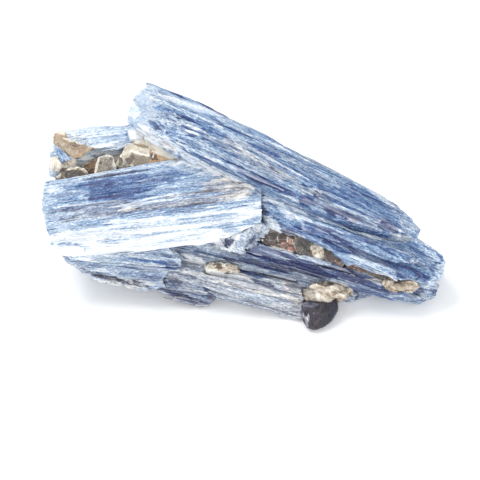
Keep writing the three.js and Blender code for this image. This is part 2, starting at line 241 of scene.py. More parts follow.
def evenOut(mesh, points, rounds):
    # each point moved to the middle of the points around it, several times over
    pairs = np.zeros(len(mesh.edges) * 2, np.int32)
    mesh.edges.foreach_get("vertices", pairs)
    one, other = pairs.reshape(-1, 2).T
    total = len(points)
    count = np.bincount(one, minlength=total) + np.bincount(other, minlength=total)
    for _ in range(rounds):
        sums = [np.bincount(one, p[other], total) + np.bincount(other, p[one], total) for p in points.T]
        points = np.stack(sums, axis=1) / count[:, None]
    return points


def standOut(mesh, points, rounds):
    # how far each point stands out from the points around it: ridges are above 0, grooves below
    return np.einsum("ij,ij->i", points - evenOut(mesh, points, rounds), meshNormals(mesh))


# Materials and node trees.


def addNode(tree, kind, inputs=None, **settings):
    made = tree.nodes.new(kind)
    for key, value in settings.items():
        setattr(made, key, value)
    for key, value in (inputs or {}).items():
        if isinstance(value, bpy.types.NodeSocket):
            tree.links.new(value, made.inputs[key])
        else:
            made.inputs[key].default_value = value
    return made


def tint(code):
    # a web colour as linear red, green, blue and alpha
    shares = [int(code[i : i + 2], 16) / 255 for i in (1, 3, 5)]
    return (*[s / 12.92 if s <= 0.04045 else ((s + 0.055) / 1.055) ** 2.4 for s in shares], 1)


def ramp(tree, factor, stops):
    made = addNode(tree, "ShaderNodeValToRGB", {"Fac": factor})
    marks = made.color_ramp.elements
    while len(marks) < len(stops):
        marks.new(0.5)
    for mark, (place, code) in zip(marks, stops):
        mark.position = place
        mark.color = tint(code)
    return made.outputs["Color"]


def mathNode(tree, operation, *values, clamp=False):
    inputs = dict(enumerate(values))
    return addNode(tree, "ShaderNodeMath", inputs, operation=operation, use_clamp=clamp).outputs[0]


def mixColours(tree, share, first, second, blend="MIX"):
    inputs = {0: share, 6: first, 7: second}
    return addNode(tree, "ShaderNodeMix", inputs, data_type="RGBA", blend_type=blend).outputs[2]


def spread(tree, value, low, high, newLow, newHigh):
    inputs = {"Value": value, 1: low, 2: high, 3: newLow, 4: newHigh}
    return addNode(tree, "ShaderNodeMapRange", inputs).outputs[0]


def attribute(tree, name):
    return addNode(tree, "ShaderNodeAttribute", attribute_name=name).outputs["Fac"]


def newMaterial(name):
    made = bpy.data.materials.new(name)
    made.use_nodes = True
    tree = made.node_tree
    return made, tree, tree.nodes["Principled BSDF"]


def grainNoise(tree, place, size, detail=2.0, roughness=0.5):
    # noise with bumps of the given size in mm along each axis of the place
    scale = [1 / (s * mm) for s in size]
    stretched = addNode(tree, "ShaderNodeMapping", {"Vector": place, "Scale": scale}).outputs[0]
    inputs = {"Vector": stretched, "Scale": 1.0, "Detail": detail, "Roughness": roughness}
    return addNode(tree, "ShaderNodeTexNoise", inputs).outputs["Fac"]


def objectPlace(tree, axes):
    # the object's own coordinates, turned to lie along the grain
    place = addNode(tree, "ShaderNodeTexCoord").outputs["Object"]
    turn = axes.to_euler()
    return addNode(tree, "ShaderNodeMapping", {"Vector": place, "Rotation": turn}).outputs[0]


# Each finish has its colours from light to dark, plain and warm, and the sizes of its noises in mm along
# the grain, across it and out of the face. Shades are how far the fine, middle and speck noises go.
kyanite = {
    "stops": [
        (0.0, "#eff4fa"),
        (0.16, "#cad9e8"),
        (0.32, "#9ab4d0"),
        (0.48, "#688cb4"),
        (0.64, "#3d6499"),
        (0.8, "#1d4280"),
        (1.0, "#0d2664"),
    ],
    "warmStops": [
        (0.0, "#f3f0ea"),
        (0.3, "#cac6c2"),
        (0.55, "#8d8b90"),
        (0.8, "#484a5a"),
        (1.0, "#1e1f2c"),
    ],
    "frostAndGlareColour": "#f7f9fc",
    "fine": (1.0, 0.15, 0.15),
    "middle": (9, 0.5, 0.5),
    "hair": (3, 0.08, 0.08),
    "speck": (0.45, 0.2, 0.2),
    "glint": 0.45,
    "shades": (0.22, 0.09, 0.16),
    "gloss": 0.34,
    "silk": 0.25,
    "bump": 0.6,
}
brownMica = {
    "stops": [
        (0.0, "#f1ebdf"),
        (0.25, "#c9bda9"),
        (0.5, "#99866f"),
        (0.75, "#5c4b3e"),
        (1.0, "#292120"),
    ],
    "warmStops": [(0.0, "#f8e8cb"), (0.3, "#dfb685"), (0.6, "#b37f4a"), (1.0, "#583720")],
    "frostAndGlareColour": "#f6f0e2",
    "fine": (0.18, 0.18, 0.1),
    "middle": (1.1, 1.1, 0.4),
    "hair": (0.5, 0.5, 0.08),
    "speck": (0.28, 0.28, 0.28),
    "glint": 0.3,
    "shades": (0.08, 0.09, 0.1),
    "gloss": 0.24,
    "silk": 0.1,
    "bump": 0.7,
}
redMica = {
    **brownMica,
    "stops": [
        (0.0, "#efe9df"),
        (0.25, "#b7aa96"),
        (0.5, "#7f7160"),
        (0.75, "#463d35"),
        (1.0, "#1f1b1a"),
    ],
    "warmStops": [(0.0, "#f6e2da"), (0.3, "#cb9f90"), (0.6, "#8b5346"), (1.0, "#3a1f1e")],
}
silverMica = {
    **brownMica,
    "stops": [
        (0.0, "#f5f2eb"),
        (0.25, "#d5cfc4"),
        (0.5, "#a1988c"),
        (0.75, "#69615b"),
        (1.0, "#322f2c"),
    ],
    "warmStops": [(0.0, "#fcf7ea"), (0.3, "#e7dabf"), (0.6, "#b8a480"), (1.0, "#6a5941")],
}
feldspar = {
    "stops": [(0.0, "#fcf9f2"), (0.3, "#e9dfd0"), (0.6, "#c2b5a2"), (1.0, "#82776a")],
    "warmStops": [(0.0, "#f3ebdd"), (0.3, "#d0bea6"), (0.6, "#9c8468"), (1.0, "#57473a")],
    "frostAndGlareColour": "#fdfcf8",
    "fine": (0.16, 0.16, 0.16),
    "middle": (0.9, 0.9, 0.9),
    "hair": (0.3, 0.3, 0.3),
    "speck": (0.22, 0.22, 0.22),
    "glint": 0.3,
    "shades": (0.12, 0.12, 0.14),
    "gloss": 0.5,
    "silk": 0.3,
    "bump": 0.6,
}
darkStone = {
    "stops": [
        (0.0, "#dde0e6"),
        (0.3, "#8a858c"),
        (0.6, "#45465a"),
        (0.8, "#23263c"),
        (1.0, "#0f1120"),
    ],
    "warmStops": [(0.0, "#dacdc2"), (0.4, "#77666a"), (0.7, "#3b2c31"), (1.0, "#171014")],
    "frostAndGlareColour": "#e6ebf4",
    "fine": (0.15, 0.8, 0.3),
    "middle": (0.6, 2.4, 1.0),
    "hair": (0.1, 1.6, 0.2),
    "speck": (0.3, 0.3, 0.3),
    "glint": 0.05,
    "shades": (0.1, 0.14, 0.1),
    "gloss": 0.3,
    "silk": 0.0,
    "bump": 0.5,
}


mineralSkin = {
    "refraction": 1.62,
    "silkColour": (0.6, 0.8, 1.0),  # how far red, green and blue light spread, in shares of the depth
    "silkDepth": 0.6,  # in mm, as the ridges are
    "ridges": 0.12,
    "calmNoise": 0.3,  # how much of the colour noise is left where a piece is calm
    "warmNoise": 0.12,
    "hairShare": 0.6,  # of the hairlines in the ridges
    "duller": 0.16,  # how far the gloss goes down and up from its own value
    "brighter": 0.08,
}


def mineralFinish(name, axes, kind):
    # the attributes tone, warm and frost steer the colour, the frost whitening being real frost and painted
    # glare alike; noise along the grain breaks it up
    made, tree, shader = newMaterial(name)
    place = objectPlace(tree, axes)
    fine = grainNoise(tree, place, kind["fine"])
    middle = grainNoise(tree, place, kind["middle"], detail=3.0)
    hair = grainNoise(tree, place, kind["hair"], detail=1.0)
    speck = grainNoise(tree, place, kind["speck"], detail=1.0)
    tone = attribute(tree, "tone")
    strength = spread(tree, attribute(tree, "calm"), 0, 1, 1, mineralSkin["calmNoise"])
    for noise, shade in zip((fine, middle, speck), kind["shades"]):
        change = spread(tree, noise, 0.3, 0.7, -shade, shade)
        tone = mathNode(tree, "MULTIPLY_ADD", change, strength, tone)
    warmer = spread(tree, middle, 0.35, 0.65, -mineralSkin["warmNoise"], mineralSkin["warmNoise"])
    warm = spread(tree, mathNode(tree, "ADD", attribute(tree, "warm"), warmer), 0, 1, 0, 1)
    plain = ramp(tree, tone, kind["stops"])
    colour = mixColours(tree, warm, plain, ramp(tree, tone, kind["warmStops"]))
    hairs = spread(tree, hair, 0.35, 0.6, 0.35, 1.0)
    frost = mathNode(tree, "MULTIPLY", attribute(tree, "frost"), hairs)
    # glints: white flecks painted into the colour where the speck noise peaks, a painted highlight
    glint = spread(tree, speck, 0.66, 0.74, 0, kind["glint"])
    frost = mathNode(tree, "ADD", frost, glint, clamp=True)
    colour = mixColours(tree, frost, colour, tint(kind["frostAndGlareColour"]))
    ridges = mathNode(tree, "ADD", mathNode(tree, "MULTIPLY", hair, mineralSkin["hairShare"]), fine)
    relief = {"Strength": kind["bump"], "Distance": mineralSkin["ridges"] * mm, "Height": ridges}
    bump = addNode(tree, "ShaderNodeBump", relief)
    glossy, dull = kind["gloss"] - mineralSkin["brighter"], kind["gloss"] + mineralSkin["duller"]
    tree.links.new(colour, shader.inputs["Base Color"])
    tree.links.new(spread(tree, middle, 0.3, 0.7, glossy, dull), shader.inputs["Roughness"])
    tree.links.new(bump.outputs[0], shader.inputs["Normal"])
    shader.inputs["IOR"].default_value = mineralSkin["refraction"]
    shader.inputs["Subsurface Weight"].default_value = kind["silk"]
    shader.inputs["Subsurface Radius"].default_value = mineralSkin["silkColour"]
    shader.inputs["Subsurface Scale"].default_value = mineralSkin["silkDepth"] * mm
    return made


def newTree(name, inputs):
    # a geometry tree that takes a mesh and the named values, and gives a mesh back
    tree = bpy.data.node_groups.new(name, "GeometryNodeTree")
    tree.interface.new_socket("Mesh", in_out="INPUT", socket_type="NodeSocketGeometry")
    for label, kind in inputs.items():
        tree.interface.new_socket(label, in_out="INPUT", socket_type="NodeSocket" + kind)
    tree.interface.new_socket("Mesh", in_out="OUTPUT", socket_type="NodeSocketGeometry")
    return tree, tree.nodes.new("NodeGroupInput").outputs, tree.nodes.new("NodeGroupOutput").inputs


def runTree(made, tree, values):
    # sets the tree's values by their identifiers and gives the finished mesh
    grow = made.modifiers.new(tree.name, "NODES")
    grow.node_group = tree
    sockets = {s.name: s.identifier for s in tree.interface.items_tree if s.in_out == "INPUT"}
    for label, value in values.items():
        grow[sockets[label]] = value
    return bakedMesh(made, made.name)


def chipObject(name, rings):
    # a closed chip about one unit across, from rings of corners, each ring joined to the next
    work = bmesh.new()
    loops = [[work.verts.new(corner) for corner in ring] for ring in rings]
    for near, far in zip(loops, loops[1:]):
        for i in range(len(near)):
            j = (i + 1) % len(near)
            work.faces.new((near[i], near[j], far[j], far[i]))
    work.faces.new(loops[0])
    work.faces.new(loops[-1])
    bmesh.ops.recalc_face_normals(work, faces=work.faces)
    mesh = bpy.data.meshes.new(name)
    work.to_mesh(mesh)
    work.free()
    return showObject(name, mesh)


def lathRings():
    # a flat bar with slanted ends and bevelled upper edges
    sides = [(-0.5, -0.5), (0.5, -0.5), (0.5, 0.05), (0.26, 0.5), (-0.34, 0.5), (-0.5, 0.2)]
    stations = [(-0.5, 0.35, -0.02), (-0.43, 0.9, 0.0), (0.36, 1.0, 0.01), (0.5, 0.6, 0.04)]
    return [[(x + slant * y, y * size, z * size) for y, z in sides] for x, size, slant in stations]


def flakeRings(layers, corners):
    # an uneven many-sided flake, given as the height and reach of each layer
    turns = [(math.tau * i + 0.7 * math.sin(2.3 * i)) / corners for i in range(corners)]
    reaches = [0.42 + 0.08 * math.sin(3.7 * i) for i in range(corners)]
    return [
        [(reach * r * math.cos(a), reach * r * math.sin(a), height) for a, r in zip(turns, reaches)]
        for height, reach in layers
    ]


def randomNumber(tree, low, high, seed):
    inputs = {2: low, 3: high, "Seed": seed}
    return addNode(tree, "FunctionNodeRandomValue", inputs, data_type="FLOAT").outputs[1]


def strewTree(name, tilt=None):
    # chips strewn over a piece, each half sunk in it and a little off its colour. With no tilt they lie
    # along the given direction; otherwise they lie across it, turned at random and tilted by up to the tilt
    tree, given, output = newTree(
        name,
        {
            "Chip": "Object",
            "Per Square Metre": "Float",
            "Length": "Float",
            "Width": "Float",
            "Thickness": "Float",
            "Direction": "Vector",
            "Tone Change": "Float",
            "Seed": "Int",
            "Finish": "Material",
        },
    )
    ruffle = addNode(tree, "GeometryNodeInputNamedAttribute", {"Name": "ruffle"}, data_type="FLOAT")
    density = mathNode(tree, "MULTIPLY", ruffle.outputs[0], given["Per Square Metre"])
    strewn = addNode(
        tree,
        "GeometryNodeDistributePointsOnFaces",
        {"Mesh": given["Mesh"], "Density": density, "Seed": given["Seed"]},
    )
    if tilt is None:
        facing = {"Vector": given["Direction"]}
        along = addNode(tree, "FunctionNodeAlignRotationToVector", facing, axis="X")
        turned = addNode(
            tree,
            "FunctionNodeAlignRotationToVector",
            {"Rotation": along.outputs[0], "Vector": strewn.outputs["Normal"]},
            axis="Z",
            pivot_axis="X",
        )
    else:
        facing = {"Vector": given["Direction"]}
        upright = addNode(tree, "FunctionNodeAlignRotationToVector", facing, axis="Z")
        angles = addNode(
            tree,
            "FunctionNodeRandomValue",
            {0: (-tilt, -tilt, -math.pi), 1: (tilt, tilt, math.pi), "Seed": 5},
            data_type="FLOAT_VECTOR",
        )
        spin = addNode(tree, "FunctionNodeEulerToRotation", {0: angles.outputs[0]})
        turned = addNode(
            tree,
            "FunctionNodeRotateRotation",
            {0: upright.outputs[0], 1: spin.outputs[0]},
            rotation_space="LOCAL",
        )
    sides = [("Length", 0.35, 1.3, 1), ("Width", 0.4, 1.3, 2), ("Thickness", 0.5, 1.2, 3)]
    scale = addNode(
        tree,
        "ShaderNodeCombineXYZ",
        {
            k: mathNode(tree, "MULTIPLY", given[side], randomNumber(tree, low, high, seed))
            for k, (side, low, high, seed) in enumerate(sides)
        },
    )
    toneNow = addNode(tree, "GeometryNodeInputNamedAttribute", {"Name": "tone"}, data_type="FLOAT")
    less = mathNode(tree, "MULTIPLY", given["Tone Change"], -1.0)
    change = randomNumber(tree, less, given["Tone Change"], 4)
    toned = addNode(
        tree,
        "GeometryNodeStoreNamedAttribute",
        {
            "Geometry": strewn.outputs["Points"],
            "Name": "tone",
            "Value": mathNode(tree, "ADD", toneNow.outputs[0], change),
        },
        data_type="FLOAT",
        domain="POINT",
    )
    chip = addNode(tree, "GeometryNodeObjectInfo", {"Object": given["Chip"]})
    placed = addNode(
        tree,
        "GeometryNodeInstanceOnPoints",
        {
            "Points": toned.outputs[0],
            "Instance": chip.outputs["Geometry"],
            "Rotation": turned.outputs[0],
            "Scale": scale.outputs[0],
        },
    )
    both = addNode(tree, "GeometryNodeJoinGeometry")
    tree.links.new(given["Mesh"], both.inputs[0])
    tree.links.new(placed.outputs[0], both.inputs[0])
    real = addNode(tree, "GeometryNodeRealizeInstances", {"Geometry": both.outputs[0]})
    done = addNode(
        tree, "GeometryNodeSetMaterial", {"Geometry": real.outputs[0], "Material": given["Finish"]}
    )
    tree.links.new(done.outputs[0], output[0])
    return tree


# Loose chips: how many lie on a square millimetre, their size in mm, and how much their tone changes.
looseLaths = {
    "chip": chipObject("lath_bar", lathRings()),
    "tree": strewTree("lath_tree"),
    "toneChange": 0.2,
}
looseFlakes = {
    "chip": chipObject("thin_flake", flakeRings([(-0.5, 0.9), (0.2, 1.0), (0.5, 0.85)], 7)),
    "tree": strewTree("flake_tree", tilt=0.22),
    "perSquareMm": 0.9,
    "length": 1.1,
    "width": 0.8,
    "thick": 0.06,
    "toneChange": 0.2,
}
looseCrumbs = {
    "chip": chipObject("spar_crumb", flakeRings([(-0.5, 0.5), (-0.15, 1.0), (0.3, 0.95), (0.5, 0.55)], 5)),
    "tree": strewTree("crumb_tree", tilt=math.pi),
    "perSquareMm": 1.1,
    "length": 0.75,
    "width": 0.6,
    "thick": 0.5,
    "toneChange": 0.2,
}
sharpAngle = 38  # degrees past which an edge is shown sharp
print("stage: finishes and chips ready")


def placePiece(node, ending, shell, look, chips, direction, finish):
    # strews the chips over the shell and hands the finished piece to the frame
    values = {
        "Chip": chips["chip"],
        "Per Square Metre": chips["perSquareMm"] / mm**2,
        "Length": chips["length"] * mm,
        "Width": chips["width"] * mm,
        "Thickness": chips["thick"] * mm,
        "Direction": tuple(direction),
        "Tone Change": chips["toneChange"],
        "Seed": look["seed"],
        "Finish": finish,
    }
    mesh = runTree(showObject(node + "_shell", shell), chips["tree"], values)
    mesh.set_sharp_from_angle(angle=math.radians(sharpAngle))
    piece = showObject(node + ending, mesh)
    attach(piece, "root")
    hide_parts(node)
    print("stage:", node, "grown,", len(mesh.polygons), "faces")


def plainLayers(look, total):
    # what is known at each point: its colour, its height, and how broken or how calm it is
    return {
        "tone": np.full(total, look["tone"]),
        "warm": np.full(total, look["warm"]),
        "frost": np.full(total, look["frost"]),
        "rise": np.zeros(total),
        "chips": np.zeros(total),
        "calm": np.zeros(total),
    }


def paint(look, points, feather, low, high, layers):
    # lays the strokes of a look over the layers
    for mark in look["strokes"]:
        weight = strokeWeight(mark, (points - low)[:, :2], (high - low)[:2], feather)
        for layer in layers:
            layers[layer] += weight * mark[layer]


def whitenRidgesShadeGrooves(shell, points, look, layers, relief=1):
    # whitish ridges, partly real frost and partly painted glare, and grooves darkened with painted shade
    ridge = standOut(shell, points, 3)
    layers["frost"] += relief * look["edgeFrostAndGlare"] * smoothStep(ridge, *look["edges"])
    layers["tone"] += relief * look["grooveShade"] * smoothStep(-ridge, *look["grooves"])


def writeLayers(shell, points, axes, layers):
    # the points go back to the model's frame, none below the floor, and the layers into the mesh
    world = points @ np.array(axes) * mm
    world[:, 2] = np.maximum(world[:, 2], 0)
    setPoints(shell, world)
    writeValue(shell, "tone", layers["tone"])
    for layer in ("warm", "frost", "calm"):
        writeValue(shell, layer, np.clip(layers[layer], 0, 1))
    return world


# Kyanite blades.

plainBlade = {
    "cell": 0.14,  # size of the fine faces in mm, across the grain
    "stretch": 3.0,  # how many times longer they are along the grain
    "warm": 0.15,
    "frost": 0.0,
    "mottle": 0.65,  # how much the laths differ in colour
    "lathWarm": 0.16,
    "lathFrost": 0.35,
    "step": 1.0,  # how much they differ in height
    "swell": 0.14,  # how far the surface is lifted, in mm, and how much that changes along it
    "wave": 0.3,
    "splinter": 0.9,  # how far the broken ends stick out, lath by lath and all together, in mm
    "reach": 0.4,
    "endCalm": 0.8,  # how much of the relief and of the colour noise the broken ends lack
    # ridge whitening is partly painted glare; groove darkening is painted shade
    "edgeFrostAndGlare": 0.45,
    "edges": (0.03, 0.14),  # how far a ridge stands out, in mm, where it begins to whiten and is whitest
    "grooveShade": 0.3,
    "grooves": (0.02, 0.12),
    "strokes": [],
}
bladeWaves = {
    "bend": (0.5, (22, 7, 7), 0),
    "kink": (0.12, (6, 2, 2), 1),
    "bow": (0.35, (26, 9, 9), 2),
    "streaks": (0.6, (5, 0.7, 0.7), 3),
    "hairlines": (0.4, (2, 0.25, 0.4), 4),
    "swell": (1, (14, 4, 4), 5),
    "tone": (0.08, (16, 3, 3), 6),
    "warm": (0.12, (18, 2.5, 2.5), 7),
    "litter": (1, (12, 3, 3), 8),
    "endStreaks": (0.22, (4, 0.35, 0.5), 9),
}
# Laths within laths: their length, width and depth in mm, how high they step in mm, how much their tone
# changes, and how far they splinter.
lathLevels = [
    ((24, 2.6, 1.1), 0.34, 0.12, 1.2),
    ((11, 1.0, 0.6), 0.17, 0.11, 0.7),
    ((5, 0.42, 0.35), 0.08, 0.12, 0.5),
    ((1.8, 0.25, 0.25), 0.06, 0.12, 0.3),
]
lathSeeds = (20, 10)  # where the laths' seeds begin, and how far apart the levels' seeds are
endSlant = 20  # degrees by which the streaks on a broken end lean


def toNearestEnd(points):
    # how far each point is, along the grain, from the end of its own narrow column of the blade
    columnSize = (1, 1.5)
    cells = np.floor(points[:, 1:] / columnSize).astype(int)
    cells -= np.floor(points[:, 1:].min(axis=0)).astype(int)
    column = cells[:, 0] * 100 + cells[:, 1]
    column -= column.min()
    first, last = np.full(column.max() + 1, np.inf), np.full(column.max() + 1, -np.inf)
    np.minimum.at(first, column, points[:, 0])
    np.maximum.at(last, column, points[:, 0])
    return np.minimum(points[:, 0] - first[column], last[column] - points[:, 0])


def growBlade(node, own):
    # a fine, striated and splintered blade in the place of the plain one
    look = {**plainBlade, **own}
    mottle = look["mottle"]
    axes = grainAxes(look["grain"])
    shell, points = fineShell(node, nodeMesh(node, axes), look["cell"], (look["stretch"], 1, 1))
    seed = look["seed"]
    low, high = points.min(axis=0), points.max(axis=0)
    normals = meshNormals(shell)
    toEnd = toNearestEnd(points)
    layers = plainLayers(look, len(points))

    # long soft waves bend the laths a little, so that none runs quite straight
    bent = points.copy()
    bent[:, 1] += wave(points, bladeWaves["bend"], seed) + wave(points, bladeWaves["kink"], seed)
    bent[:, 2] += wave(points, bladeWaves["bow"], seed)
    streaks = wave(bent, bladeWaves["streaks"], seed) + wave(bent, bladeWaves["hairlines"], seed)

    lift = look["swell"] + look["wave"] * wave(points, bladeWaves["swell"], seed)
    layers["tone"] += wave(points, bladeWaves["tone"], seed)
    layers["warm"] += wave(points, bladeWaves["warm"], seed)
    paint(look, points, streaks, low, high, layers)
    ends = smoothStep(np.abs(normals[:, 0]), 0.45, 0.85)
    relief = (1 - look["endCalm"] * ends) * (1 - np.clip(layers["calm"], 0, 1))
    layers["calm"] += look["endCalm"] * ends
    slanted = points @ np.array(Matrix.Rotation(math.radians(endSlant), 3, "Z"))
    layers["tone"] += ends * wave(slanted, bladeWaves["endStreaks"], seed)
    splinter = np.zeros(len(points))
    for level, (lathSize, height, shade, spike) in enumerate(lathLevels):
        number, side = lathPattern(bent, lathSize, seed + lathSeeds[0] + lathSeeds[1] * level)
        lift += relief * height * look["step"] * (number - 0.5)
        lift -= relief * 0.4 * height * (1 - smoothStep(side, 0, 0.16))
        layers["tone"] += relief * mottle * shade * 2 * (freshNumber(number, 7.3) - 0.5)
        layers["warm"] += look["lathWarm"] * mottle * (freshNumber(number, 13.7) - 0.5)
        layers["frost"] += look["lathFrost"] * mottle * smoothStep(freshNumber(number, 29.1), 0.9, 1)
        splinter += (number - 0.75) * spike

    # the broken ends are splintered along the grain
    points += normals * (lift + layers["rise"])[:, None]
    points[:, 0] += np.sign(normals[:, 0]) * ends * (splinter * look["splinter"] + look["reach"])
    setPoints(shell, points)
    whitenRidgesShadeGrooves(shell, points, look, layers, relief)
    world = writeLayers(shell, points, axes, layers)

    # loose laths gather in places, but not on the ends, past them or under the blade
    laths = {**looseLaths, **look["laths"]}
    ruffle = 0.25 + 0.75 * smoothStep(wave(points, bladeWaves["litter"], seed), -0.1, 0.5)
    ruffle *= 1 + layers["chips"]
    ruffle *= smoothStep(toEnd, 0.4 * laths["length"], 0.75 * laths["length"])
    ruffle *= (1 - ends) * smoothStep(world[:, 2], 0.5 * mm, 1.5 * mm)
    writeValue(shell, "ruffle", ruffle)
    finish = mineralFinish("kyanite_" + node, axes, kyanite)
    placePiece(node, "_crystal", shell, look, laths, axes[0], finish)


rubble = [0.08, 0.15, 0.21, 0.3, 0.37, 0.45]  # where whitish rubble clings to the lower edge

